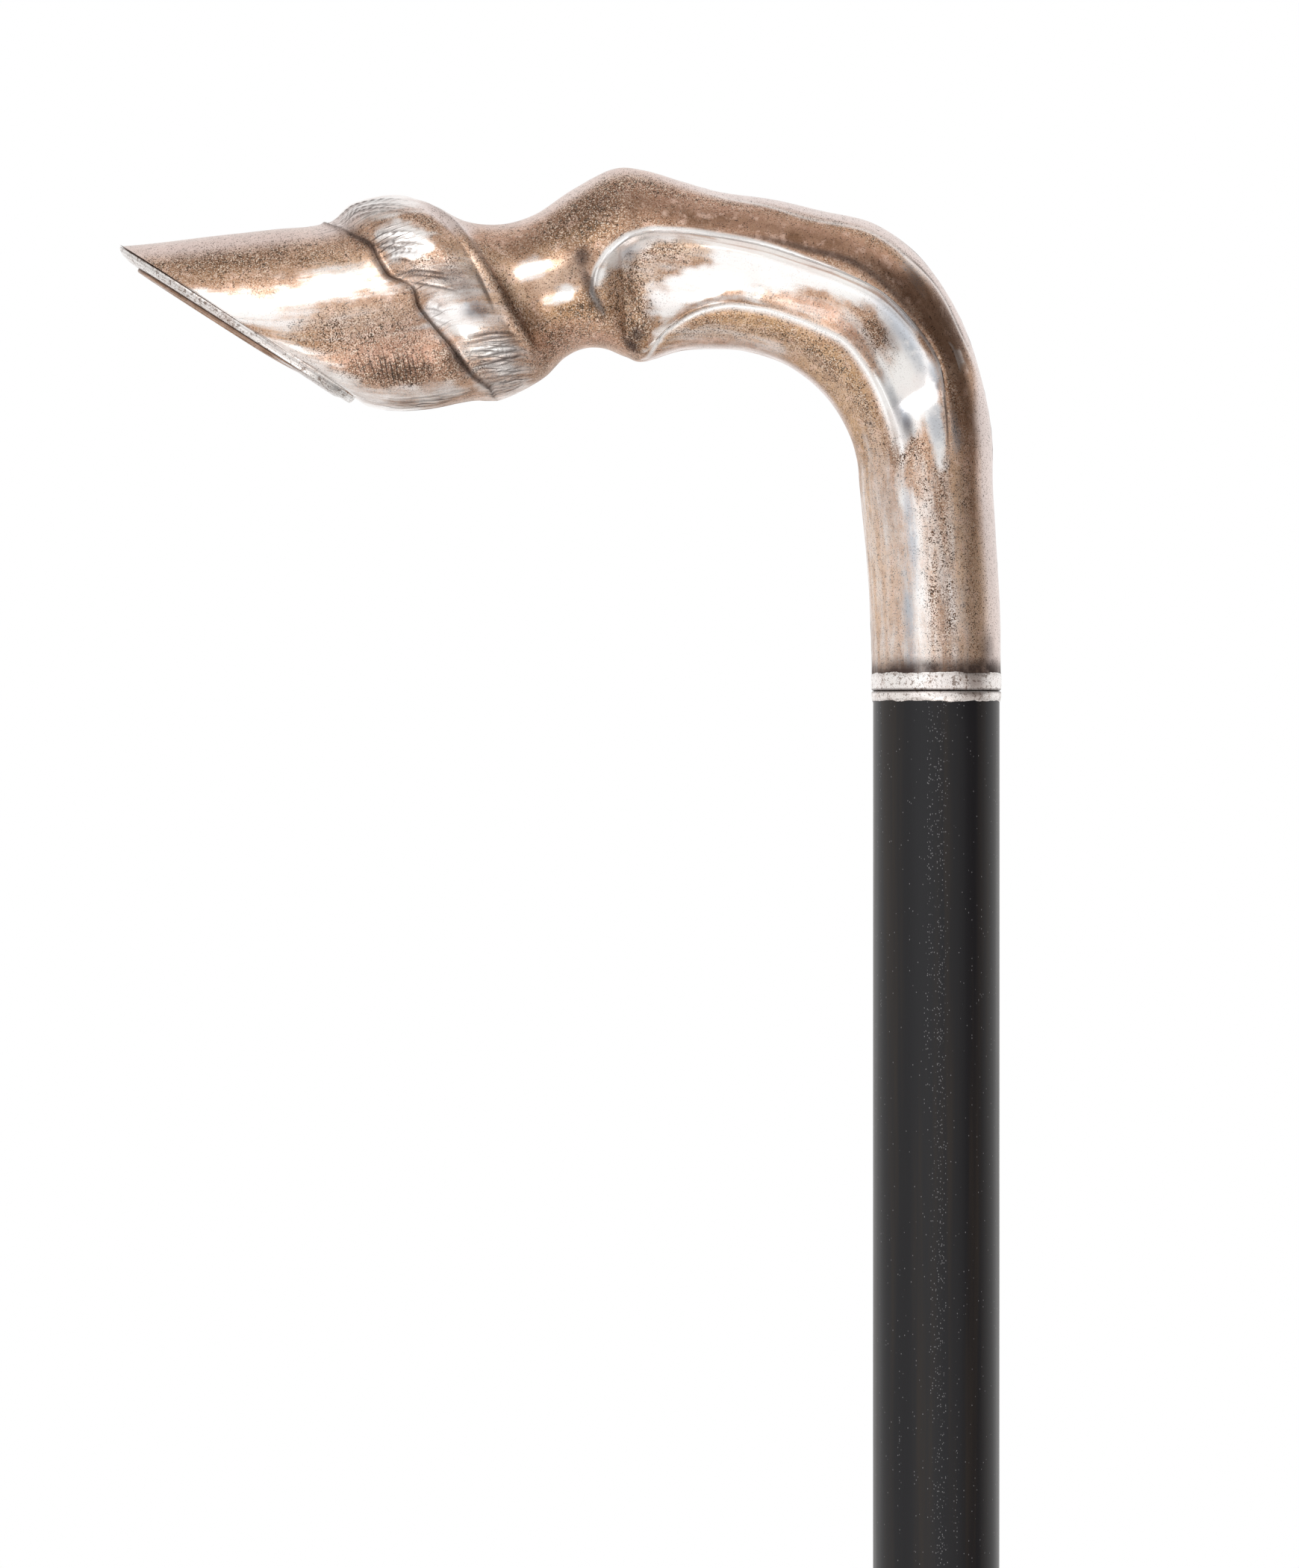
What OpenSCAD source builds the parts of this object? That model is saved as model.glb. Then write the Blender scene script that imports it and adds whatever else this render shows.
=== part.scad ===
// Walking cane with a hoof-and-leg handle in silvered sheet, a black hardwood shaft and a metal ferrule.
// Millimetres, +Z up. The origin is the centre of the foot, the shaft stands on the Z axis,
// and the handle points towards -X. The two halves of the handle meet on the plane Y = 0.

/* [Cane] */
// Height from the foot to the top of the fetlock
cane_length = 900; // [820:5:980]

/* [Shaft] */
// Diameter of the parallel upper part of the shaft
shaft_d = 18.4; // [17:0.2:20]
// Length of the parallel part below the collar
parallel_length = 160; // [100:10:300]
// Diameter of the tenon turned on the top of the shaft
tenon_d = 12.6; // [11:0.2:13.4]
// Length of the tenon above the shoulder
tenon_length = 34; // [26:1:38]

/* [Handle sheet] */
// Thickness of the sheet that the two halves are stamped from
sheet_t = 0.9; // [0.6:0.1:1.2]
// How far the socket stands out past the shaft, on the radius
socket_step = 0.15; // [0.05:0.05:0.4]
// Space left between the sheet and the filling
filling_gap = 0.6; // [0.5:0.05:0.8]

/* [Leg] */
// Height of the leg's middle line above the shoulder of the shaft
leg_rise = 61.9; // [56:0.5:68]
// Depth of the leg, from its top to its underside, where the bend begins
leg_depth = 22.8; // [20:0.2:24]
// Distance from the leg's middle line down to its underside there
leg_under = 11; // [10:0.2:12]
// Width of the leg, side to side
leg_width = 18.8; // [17:0.2:20]
// Radius of the inside of the bend
bend_r = 20; // [17:0.2:23]
// Extra depth in the middle of the bend
bend_swell = 3; // [1:0.2:4]
// How far the top of the socket leans forward of the shaft's axis
neck_lean = 1.8; // [0.6:0.2:2.4]
// Depth of the hollow between the two ridges
hollow_depth = 1.9; // [1:0.1:2.4]
// Distance from the bend to the ergot, the point under the fetlock
cannon_length = 11.4; // [9:0.2:16]

/* [Foot] */
// Distance from the ergot to the narrowest part of the pastern
fetlock_length = 20.7; // [18:0.3:24]
// Height of the fetlock's top above the leg's middle line
fetlock_rise = 15.2; // [12:0.2:17]
// Width of the fetlock
fetlock_width = 19.8; // [18:0.2:22]
// Width of the pastern at its narrowest
pastern_width = 17.8; // [16:0.2:20]
// Length of the coronet band, from the pastern to the hoof, along the top
band_length = 25.6; // [22:0.4:28]
// Width of the coronet band at its crest
band_width = 26.6; // [24:0.2:30]
// Length of the hoof along its top, from the coronet to the edge of the sole
hoof_length = 29.8; // [26:0.2:32]
// Width of the hoof at the sole
hoof_width = 28; // [26:0.2:31]
// Depth of the cleft between the bulbs of the heel
heel_cleft = 1.6; // [0.6:0.2:2.2]
// Depth of the groove between the hoof and the coronet band
groove_depth = 0.7; // [0.3:0.1:1]
// Height of the ridge along the band's upper edge
ridge_height = 0.4; // [0.2:0.1:0.7]
// Height of the knuckle on each side of the pastern
knuckle_height = 0.9; // [0.4:0.1:1.4]

/* [Sole] */
// Thickness of the plate that closes the hoof
plate_t = 1.2; // [0.9:0.1:2]
// How far the plate's edge is rounded off at the heel and flanks
plate_bevel = 0.4; // [0.2:0.1:0.7]
// How much further it is rounded off at the toe
toe_roll = 3.2; // [0:0.2:4]
// Thickness of the shoe
shoe_t = 0.5; // [0.4:0.1:1]
// Distance from the edge of the plate to the edge of the shoe
shoe_margin = 0.8; // [0.5:0.1:1.4]
// Width of the shoe's web
shoe_web = 4.6; // [3.6:0.2:5.4]
// Length of the shoe from the toe to the ends of its branches
shoe_length = 33.5; // [28:0.5:35]
// Length of the frog
frog_length = 15; // [12:0.5:18]
// Width of the frog at the heel
frog_width = 9; // [7:0.5:10]

/* [Collar] */
// How far the collar stands out past the shaft, on the radius
collar_step = 0.3; // [0.25:0.05:0.6]
// Height of the upper band
band_h = 2.1; // [1.4:0.1:3]
// Height of the lower bead
bead_h = 1.25; // [0.9:0.05:2]

/* [Ferrule] */
// Outside diameter of the sleeve
ferrule_d = 12.7; // [11.6:0.1:14]
// Wall of the sleeve
ferrule_wall = 0.7; // [0.5:0.1:1]
// Length of the sleeve
ferrule_length = 36; // [28:1:44]
// Height of the part of the tip that shows below the sleeve
tip_h = 5; // [3:0.5:8]
// Length of the tip's shank inside the sleeve
shank_length = 7; // [5:0.5:9]
// Diameter of the two pins through the sleeve
pin_d = 1.2; // [1:0.1:1.8]
// Length of each pin
pin_length = 4.2; // [3:0.2:4.8]
// Distance of the pins below the top of the sleeve
pin_drop = 6; // [4:0.5:10]

/* [Hidden] */
$fn = 96;

// Clearance of a turned fit, on the radius
fit = 0.08;
silver = [0.74, 0.66, 0.58];
pale_silver = [0.83, 0.80, 0.77];
gilt = [0.83, 0.66, 0.47];
pitch_brown = [0.16, 0.10, 0.07];
black_wood = [0.07, 0.065, 0.07];
brass_tone = [0.66, 0.53, 0.30];
steel_tone = [0.42, 0.42, 0.43];

shoulder_z = cane_length - leg_rise - fetlock_rise;
collar_d = shaft_d + 2 * collar_step;
socket_d = shaft_d + 2 * socket_step;
mouth_z = bead_h + band_h;
sleeve_top = tip_h + ferrule_length;
sleeve_bore = ferrule_d - 2 * ferrule_wall;

// Places along the leg, measured from the shaft's axis, and heights above the shoulder
bend_x = -(socket_d / 2 + neck_lean + bend_r);
bend_z = leg_rise - leg_under - bend_r;
ergot_x = bend_x - cannon_length;
neck_x = ergot_x - fetlock_length;
coronet_x = neck_x - band_length;
sole_x = coronet_x - hoof_length;

// Each row of the handle is one section, in a plane that holds the Y axis's direction:
// [top x, top z, underside x, underside z, half width, lower ridge angle, upper ridge angle,
//  depth of the hollow, fullness, bow of its side towards the shaft].
// A ridge angle runs from -90 at the underside to 90 at the top.
function section(top, under, half_width, lower = -30, upper = 22, hollow = 0, full = 1, bow = 0) =
    [top[0], leg_rise + top[1], under[0], leg_rise + under[1], half_width, lower, upper, hollow, full, bow];

hoof_sections = [
    section([sole_x, 3.9], [coronet_x + 4.4, -17.95], hoof_width / 2, full = 0.8),
    section([sole_x + 0.22 * hoof_length, 4.6], [coronet_x + 7.2, -20], hoof_width / 2 - 0.1, full = 0.82, bow = 0.5),
    section([sole_x + 0.48 * hoof_length, 5.5], [coronet_x + 11.2, -20.7], hoof_width / 2 - 0.4, full = 0.84, bow = 1.2),
    section([sole_x + 0.74 * hoof_length, 6.4], [coronet_x + 16, -20.4], hoof_width / 2 - 0.8, full = 0.87, bow = 2.2),
    section([coronet_x, 7.3], [neck_x - 4.3, -19.2], hoof_width / 2 - 1.3, full = 0.9, bow = 3),
];

band_sections = [
    section([coronet_x + 0.16 * band_length, 10.3], [neck_x - 1.8, -18.8], band_width / 2 - 0.1, full = 0.92, bow = 3),
    section([coronet_x + 0.4 * band_length, 11.4], [neck_x + 1.2, -17.9], band_width / 2, full = 0.95, bow = 2.6),
    section([coronet_x + 0.61 * band_length, 9.9], [neck_x + 4.2, -16.4], band_width / 2 - 1.1, bow = 2),
    section([coronet_x + 0.8 * band_length, 7.6], [neck_x + 6.6, -14.8], (band_width + pastern_width) / 4 - 0.6, bow = 1),
];

fetlock_sections = [
    section([neck_x, 7.2], [neck_x + 9.2, -12.2], pastern_width / 2 + 0.2),
    section([neck_x + 5, 8.7], [neck_x + 12, -10.9], pastern_width / 2, -44, -10),
    section([neck_x + 10.4, 12.2], [neck_x + 15, -10.9], pastern_width / 2 + 0.5, -58, -6),
    section([ergot_x - 4.5, fetlock_rise], [ergot_x - 2.6, -12.1], fetlock_width / 2, -66, 9, hollow_depth * 0.45),
    section([ergot_x, fetlock_rise - 0.2], [ergot_x, -12.8], fetlock_width / 2, -62, 19, hollow_depth),
    section([ergot_x + cannon_length / 2, 13.4], [ergot_x + cannon_length / 2, -11.2],
            (fetlock_width + leg_width) / 4, -37, 22, hollow_depth),
];

// The bend turns about one centre, from a vertical section at 90 degrees to a level one at 0.
bend_step = 10;
fullest_turn = 55;
function swell(turn) = bend_swell * exp(-pow((turn - fullest_turn) / (turn > fullest_turn ? 12 : 27), 2));
bend_slack = 0.6;
function bend_depth(turn) =
    socket_d + bend_slack + (leg_depth - socket_d - bend_slack) * turn / 90 + swell(turn);
function on_bend(turn, r) = [bend_x + r * cos(turn), bend_z - leg_rise + r * sin(turn)];
function upper_ridge(turn) = turn > 60 ? 15.5 + (turn - 60) * 0.27 : min(15.5 + (60 - turn) * 0.53, 32);
function lower_ridge(turn) = turn > 55 ? -25 : -21;
function hollow_fade(turn) = min(1, turn / 35);
bend_sections = [
    for (turn = [90 : -bend_step : 0])
        section(on_bend(turn, bend_r + bend_depth(turn)), on_bend(turn, bend_r), leg_width / 2,
                lower_ridge(turn), upper_ridge(turn), hollow_depth * hollow_fade(turn))
];

// The socket leads from the bend down to its mouth, and comes round and onto the shaft's axis.
socket_sections = [
    for (down = [0.25 : 0.25 : 1])
        let (
            rise = bend_z + (mouth_z - bend_z) * down - leg_rise,
            lean = neck_lean * pow(1 - down, 2),
            slack = bend_slack / 4 * (1 - down)
        )
        section([socket_d / 2 - lean * 0.8 + slack, rise], [-socket_d / 2 - lean - slack, rise],
                (leg_width + (socket_d - leg_width) * down) / 2)
];

sections = concat(hoof_sections, band_sections, fetlock_sections, bend_sections, socket_sections);
last_section = len(sections) - 1;

// A smooth curve through the sections, at a place counted in sections from the sole.
function blend(a, b, c, d, t) =
    0.5 * (2 * b + (c - a) * t + (2 * a - 5 * b + 4 * c - d) * t * t + (3 * b - a - 3 * c + d) * t * t * t);
function section_at(place) =
    let (i = min(floor(place), last_section - 1))
    blend(sections[max(i - 1, 0)], sections[i], sections[i + 1], sections[min(i + 2, last_section)], place - i);

// Half of a section's outline has three stretches: below the hollow, across it and above it.
under_steps = 5;
hollow_steps = 6;
top_steps = 6;
outline_steps = under_steps + hollow_steps + top_steps;
function ring_angle(s, j) =
    j <= under_steps ? -90 + (s[5] + 90) * j / under_steps
    : j <= under_steps + hollow_steps ? s[5] + (s[6] - s[5]) * (j - under_steps) / hollow_steps
    : s[6] + (90 - s[6]) * (j - under_steps - hollow_steps) / top_steps;
function bulge(s, a) = s[4] * pow(max(cos(a), 0), s[8]);
// The hollow is a scoop below the straight line that joins its two ridges.
function scoop(s, a) =
    let (u = (sin(a) - sin(s[5])) / (sin(s[6]) - sin(s[5])))
    bulge(s, s[5]) + (bulge(s, s[6]) - bulge(s, s[5])) * u - 4 * s[7] * u * (1 - u);
function hollowed(s) = min(1, s[7] / (0.5 * hollow_depth));
function side(s, a) =
    a > s[5] && a < s[6] && s[7] > 0
        ? bulge(s, a) + (scoop(s, a) - bulge(s, a)) * hollowed(s)
        : bulge(s, a);
// The heel is cleft along the middle of its underside.
function cleft(place, a) =
    a < 0 ? heel_cleft * max(0, 1 - pow(abs(place - 2.2) / 3.2, 2)) * pow(-sin(a), 24) : 0;

// What stands out of the skin, or lies below it, at a place and an angle.
groove_place = 4.1;
ridge_place = 6.85;
valley_place = 7.5;
knuckle_place = 9.9;
function bell(value, centre, spread) = exp(-pow((value - centre) / spread, 2));
function relief(place, a) =
    ridge_height * (bell(place, ridge_place, 0.25) - bell(place, valley_place, 0.3)) * pow(cos(a), 0.5)
    - groove_depth * bell(place, groove_place, 0.17)
    + knuckle_height * bell(place, knuckle_place, 0.9) * bell(a, 2, 24);

function ring_point(place, j, inset) =
    let (
        s = section_at(place),
        half = norm([s[0] - s[2], s[1] - s[3]]) / 2,
        a = ring_angle(s, j),
        sunk = inset - relief(place, a),
        out = max(side(s, a) - sunk * cos(a), 0),
        up = sin(a) * (half - sunk) + cleft(place, a)
    )
    [
        (s[0] + s[2]) / 2 + up * (s[0] - s[2]) / (2 * half) + s[9] * pow(cos(a), 2),
        abs(a) > 89.99 ? 0 : -out,
        (s[1] + s[3]) / 2 + up * (s[1] - s[3]) / (2 * half)
    ];

// Places of the rings: closer together across the groove and the ridge, wider apart round the bend.
rings = concat(
    [for (place = [0 : 0.5 : 3.5]) place],
    [for (place = [3.75 : 0.14 : 4.6]) place],
    [for (place = [4.75 : 0.35 : 6.2]) place],
    [for (place = [6.45 : 0.2 : 8.1]) place],
    [for (place = [8.4 : 0.35 : 15.1]) place],
    [for (place = [15.5 : 0.5 : last_section]) place]
);

function quad(a, b, c, d) = [[a, c, b], [a, d, c]];
function flatten(lists) = [for (list = lists) each list];

// One stamped half: an outer and an inner skin, joined along the seam, the sole and the mouth.
module stamped_half() {
    across = outline_steps + 1;
    count = len(rings) * across;
    last = len(rings) - 1;
    outer = [for (place = rings, j = [0 : outline_steps]) ring_point(place, j, 0)];
    inner = [for (place = rings, j = [0 : outline_steps]) ring_point(place, j, sheet_t)];
    skins = [
        for (i = [0 : last - 1], j = [0 : outline_steps - 1])
            let (p = i * across + j, q = p + across)
            concat(quad(p, q, q + 1, p + 1), quad(count + p, count + p + 1, count + q + 1, count + q))
    ];
    seams = [
        for (i = [0 : last - 1])
            let (p = i * across, q = p + across, r = p + outline_steps, t = r + across)
            concat(quad(p, count + p, count + q, q), quad(r, t, count + t, count + r))
    ];
    ends = [
        for (j = [0 : outline_steps - 1])
            let (m = last * across)
            concat(quad(j, j + 1, count + j + 1, count + j), quad(m + j, count + m + j, count + m + j + 1, m + j + 1))
    ];
    translate([0, 0, shoulder_z])
        polyhedron(concat(outer, inner), flatten(concat(skins, seams, ends)), convexity = 8);
}

module handle_half_near() {
    color(silver) stamped_half();
}

module handle_half_far() {
    color(silver) mirror([0, 1, 0]) stamped_half();
}

// The filling has a ring at each section, and one in the groove, in the valley and where the hollow begins.
hollow_place = 12;
filling_rings = concat(
    [for (place = [0 : floor(groove_place)]) place], groove_place,
    [for (place = [ceil(groove_place) : floor(valley_place)]) place], valley_place,
    [for (place = [ceil(valley_place) : hollow_place]) place], hollow_place + 0.5,
    [for (place = [hollow_place + 1 : last_section]) place]
);

// The pitch that the handle is run full of, with the hole that the tenon fills.
module handle_filling() {
    across = 2 * outline_steps;
    inset = sheet_t + filling_gap;
    last = len(filling_rings) - 1;
    points = [
        for (place = filling_rings, k = [0 : across - 1])
            let (p = ring_point(place, k <= outline_steps ? k : across - k, inset))
            k <= outline_steps ? p : [p[0], -p[1], p[2]]
    ];
    walls = [
        for (i = [0 : last - 1], k = [0 : across - 1])
            let (n = (k + 1) % across, p = i * across)
            quad(p + k, p + across + k, p + across + n, p + n)
    ];
    sole_end = [[for (k = [across - 1 : -1 : 0]) k]];
    mouth_end = [[for (k = [0 : across - 1]) last * across + k]];
    color(pitch_brown) translate([0, 0, shoulder_z]) difference() {
        polyhedron(points, concat(flatten(walls), sole_end, mouth_end), convexity = 6);
        cylinder(d = tenon_d + 2 * fit, h = tenon_length + fit);
    }
}

// The sole's own plane: x runs from the toe to the heel, and z points out of the hoof.
sole = sections[0];
sole_length = norm([sole[0] - sole[2], sole[1] - sole[3]]);
sole_tilt = atan2(sole[1] - sole[3], sole[2] - sole[0]);
module on_sole() {
    translate([sole[0], 0, shoulder_z + sole[1]]) rotate([0, sole_tilt, 0]) mirror([0, 0, 1]) children();
}

// The outline of the sole, drawn in by a margin and cut back further at the toe.
function sole_outline(margin, toe_cut = 0) = [
    for (a = [-90 : 10 : 260])
        let (
            half = sole_length / 2 - margin - toe_cut / 2,
            turned = a <= 90 ? a : 180 - a,
            flank = a <= 90 ? 1 : -1
        )
        [
            (sole_length + toe_cut) / 2 - half * sin(turned),
            flank * (sole[4] - margin) * pow(max(cos(turned), 0), sole[8])
        ]
];

// Outlines stacked one on another, each given as [height, margin, cut at the toe].
module stacked_outlines(levels) {
    across = len(sole_outline(0));
    last = len(levels) - 1;
    points = [for (level = levels) for (p = sole_outline(level[1], level[2])) [p[0], p[1], level[0]]];
    walls = [
        for (i = [0 : last - 1], k = [0 : across - 1])
            let (n = (k + 1) % across, p = i * across)
            quad(p + k, p + n, p + across + n, p + across + k)
    ];
    bottom = [[for (k = [0 : across - 1]) k]];
    top = [[for (k = [across - 1 : -1 : 0]) last * across + k]];
    polyhedron(points, concat(flatten(walls), bottom, top), convexity = 4);
}

module frog() {
    heel = sole_length - 3;
    tip = heel - frog_length;
    polygon([
        [tip, 0],
        [heel - 1, frog_width / 2],
        [heel, frog_width / 2 - 1],
        [heel - frog_length / 3, 0],
        [heel, 1 - frog_width / 2],
        [heel - 1, -frog_width / 2],
    ]);
}

module sole_plate() {
    color(pale_silver) on_sole() {
        stacked_outlines([
            for (turn = [0 : 22.5 : 90])
                [plate_t * sin(turn), plate_bevel * (1 - cos(turn)), toe_roll * (1 - cos(turn))]
        ]);
        translate([0, 0, plate_t]) linear_extrude(shoe_t * 0.7) frog();
    }
}

module horseshoe() {
    crease = shoe_t / 3;
    crease_margin = shoe_margin + shoe_web / 3;
    color(silver) on_sole() translate([0, 0, plate_t]) difference() {
        linear_extrude(shoe_t) polygon(sole_outline(shoe_margin, toe_roll));
        translate([0, 0, -1]) linear_extrude(shoe_t + 2) polygon(sole_outline(shoe_margin + shoe_web, toe_roll));
        translate([shoe_length, -hoof_width, -1]) cube([sole_length, 2 * hoof_width, shoe_t + 2]);
        // The crease that the nails sit in
        translate([0, 0, shoe_t - crease]) linear_extrude(crease + 1) difference() {
            polygon(sole_outline(crease_margin, toe_roll));
            polygon(sole_outline(crease_margin + shoe_web / 4, toe_roll));
            translate([shoe_length * 0.8, -hoof_width]) square([sole_length, 2 * hoof_width]);
        }
    }
}

// A ring round the tenon, with the outside turned to an arc.
module turned_ring(height, crown) {
    reach = collar_d / 2;
    bore = tenon_d / 2 + fit;
    arc_r = (height * height / 4 + crown * crown) / (2 * crown);
    rotate_extrude() intersection() {
        translate([bore, 0]) square([reach - bore, height]);
        translate([reach - arc_r, height / 2]) circle(r = arc_r);
    }
}

module collar_band() {
    color(pale_silver) translate([0, 0, shoulder_z + bead_h]) turned_ring(band_h, band_h / 9);
}

module collar_bead() {
    color(gilt) translate([0, 0, shoulder_z]) turned_ring(bead_h, bead_h / 3);
}

module shaft() {
    spigot_r = sleeve_bore / 2 - fit;
    spigot_z = tip_h + shank_length + fit;
    edge = 0.5;
    color(black_wood) difference() {
        rotate_extrude() polygon([
            [0, spigot_z],
            [spigot_r, spigot_z],
            [spigot_r, sleeve_top],
            [ferrule_d / 2, sleeve_top],
            [shaft_d / 2, shoulder_z - parallel_length],
            [shaft_d / 2, shoulder_z],
            [tenon_d / 2, shoulder_z],
            [tenon_d / 2, shoulder_z + tenon_length - edge],
            [tenon_d / 2 - edge, shoulder_z + tenon_length],
            [0, shoulder_z + tenon_length],
        ]);
        pin_holes();
    }
}

module ferrule_sleeve() {
    color(brass_tone) difference() {
        translate([0, 0, tip_h]) cylinder(d = ferrule_d, h = ferrule_length);
        translate([0, 0, tip_h - 1]) cylinder(d = sleeve_bore, h = ferrule_length + 2);
        pin_holes();
    }
}

// The foot: a worn steel plug whose shank is driven into the sleeve.
module ferrule_tip() {
    rim_r = ferrule_d / 2 - ferrule_wall / 3;
    round_r = 1.2;
    color(steel_tone) rotate_extrude() {
        square([rim_r - round_r, tip_h]);
        translate([0, round_r]) square([rim_r, tip_h - round_r]);
        intersection() {
            translate([rim_r - round_r, round_r]) circle(r = round_r);
            square([rim_r, round_r]);
        }
        translate([0, tip_h]) square([sleeve_bore / 2 - fit, shank_length]);
    }
}

module at_pins() {
    for (turn = [0, 180])
        rotate([0, 0, turn + 90]) translate([ferrule_d / 2, 0, sleeve_top - pin_drop]) rotate([0, -90, 0]) children();
}

module pin_holes() {
    at_pins() translate([0, 0, -1]) cylinder(d = pin_d + fit, h = pin_length + 1 + fit, $fn = 32);
}

module ferrule_pins() {
    color(brass_tone) at_pins() translate([0, 0, fit]) cylinder(d = pin_d, h = pin_length - fit, $fn = 32);
}

handle_half_near();
handle_half_far();
handle_filling();
sole_plate();
horseshoe();
collar_band();
collar_bead();
shaft();
ferrule_sleeve();
ferrule_tip();
ferrule_pins();
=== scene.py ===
# Walking cane with a silvered hoof-and-leg handle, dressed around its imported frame.
# Lengths in the dictionaries are millimetres, and angles are degrees.
import math
import random

import bmesh
import bpy
import numpy as np
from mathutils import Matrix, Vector, kdtree


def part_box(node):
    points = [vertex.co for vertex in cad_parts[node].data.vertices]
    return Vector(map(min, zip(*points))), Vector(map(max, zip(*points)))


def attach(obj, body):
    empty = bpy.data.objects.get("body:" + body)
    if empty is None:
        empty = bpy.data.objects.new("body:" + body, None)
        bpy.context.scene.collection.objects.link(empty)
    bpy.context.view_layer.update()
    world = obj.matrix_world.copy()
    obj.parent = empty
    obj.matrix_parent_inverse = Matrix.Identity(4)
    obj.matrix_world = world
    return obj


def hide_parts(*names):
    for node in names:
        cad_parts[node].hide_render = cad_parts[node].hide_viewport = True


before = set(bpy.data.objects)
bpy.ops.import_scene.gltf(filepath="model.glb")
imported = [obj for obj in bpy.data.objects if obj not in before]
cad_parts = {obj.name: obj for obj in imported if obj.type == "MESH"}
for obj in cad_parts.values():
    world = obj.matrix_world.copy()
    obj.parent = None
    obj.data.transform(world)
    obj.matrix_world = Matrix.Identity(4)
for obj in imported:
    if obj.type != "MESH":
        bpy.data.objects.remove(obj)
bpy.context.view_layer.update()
mm = 0.001
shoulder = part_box("collar_bead")[0].z / mm      # height of the wood's shoulder
print("frame loaded, shoulder at", round(shoulder, 2))


# small helpers
def toSocket(tree, socket, value):
    if isinstance(value, bpy.types.NodeSocket):
        tree.links.new(value, socket)
    else:
        socket.default_value = value


def addNode(tree, kind, values=None, **settings):
    made = tree.nodes.new(kind)
    for name, value in settings.items():
        setattr(made, name, value)
    for key, value in (values or {}).items():
        toSocket(tree, made.inputs[key], value)
    return made


def maths(tree, operation, *values):
    return addNode(tree, "ShaderNodeMath", dict(enumerate(values)), operation=operation).outputs[0]


def times(tree, one, other):
    return maths(tree, "MULTIPLY", one, other)


def timesPlus(tree, one, other, added):
    return maths(tree, "MULTIPLY_ADD", one, other, added)


def plus(tree, one, other):
    return maths(tree, "ADD", one, other)


def minus(tree, one, other):
    return maths(tree, "SUBTRACT", one, other)


def larger(tree, one, other):
    return maths(tree, "MAXIMUM", one, other)


def combined(tree, x, y, z=0.0):
    return addNode(tree, "ShaderNodeCombineXYZ", {"X": x, "Y": y, "Z": z}).outputs[0]


def separated(tree, vector):
    return addNode(tree, "ShaderNodeSeparateXYZ", {0: vector}).outputs


def scaled(tree, where, scale):
    return addNode(tree, "ShaderNodeMapping", {"Vector": where, "Scale": scale}).outputs[0]


# A smooth step from one value to another while the given value goes from low to high
def between(tree, value, low, high, toLow=0.0, toHigh=1.0):
    values = {"Value": value, "From Min": low, "From Max": high, "To Min": toLow, "To Max": toHigh}
    return addNode(tree, "ShaderNodeMapRange", values, interpolation_type="SMOOTHSTEP").outputs["Result"]


def mixColour(tree, share, below, above):
    return addNode(tree, "ShaderNodeMix", {0: share, 6: below, 7: above}, data_type="RGBA").outputs[2]


def noise(tree, where, scale, detail=2.0, roughness=0.5):
    values = {"Vector": where, "Scale": scale, "Detail": detail, "Roughness": roughness}
    return addNode(tree, "ShaderNodeTexNoise", values).outputs["Fac"]


def attribute(tree, name):
    return addNode(tree, "ShaderNodeAttribute", attribute_name=name).outputs["Fac"]


def newMaterial(name):
    material = bpy.data.materials.new(name)
    material.use_nodes = True
    tree = material.node_tree
    return material, tree, tree.nodes.new("ShaderNodeTexCoord").outputs["Object"]


def coat(tree, values):
    for name, value in values.items():
        toSocket(tree, tree.nodes["Principled BSDF"].inputs[name], value)


def bumped(tree, height, strength, distance):
    values = {"Height": height, "Strength": strength, "Distance": distance}
    return addNode(tree, "ShaderNodeBump", values).outputs["Normal"]


def newObject(name, data):
    made = bpy.data.objects.new(name, data)
    bpy.context.scene.collection.objects.link(made)
    return made


def newPiece(name, points, faces, material, smooth=True):
    mesh = bpy.data.meshes.new(name)
    mesh.from_pydata([tuple(p) for p in points], [], faces)
    mesh.update()
    mesh.materials.append(material)
    if smooth:
        mesh.shade_smooth()
    return newObject(name, mesh)


def setLayer(mesh, name, values):
    layer = mesh.attributes.new(name, "FLOAT", "POINT")
    layer.data.foreach_set("value", np.array(values).reshape(-1).astype(np.float32))


def seat(piece, slotName, *nodes):
    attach(piece, "root")
    if nodes:
        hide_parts(*nodes)


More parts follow.
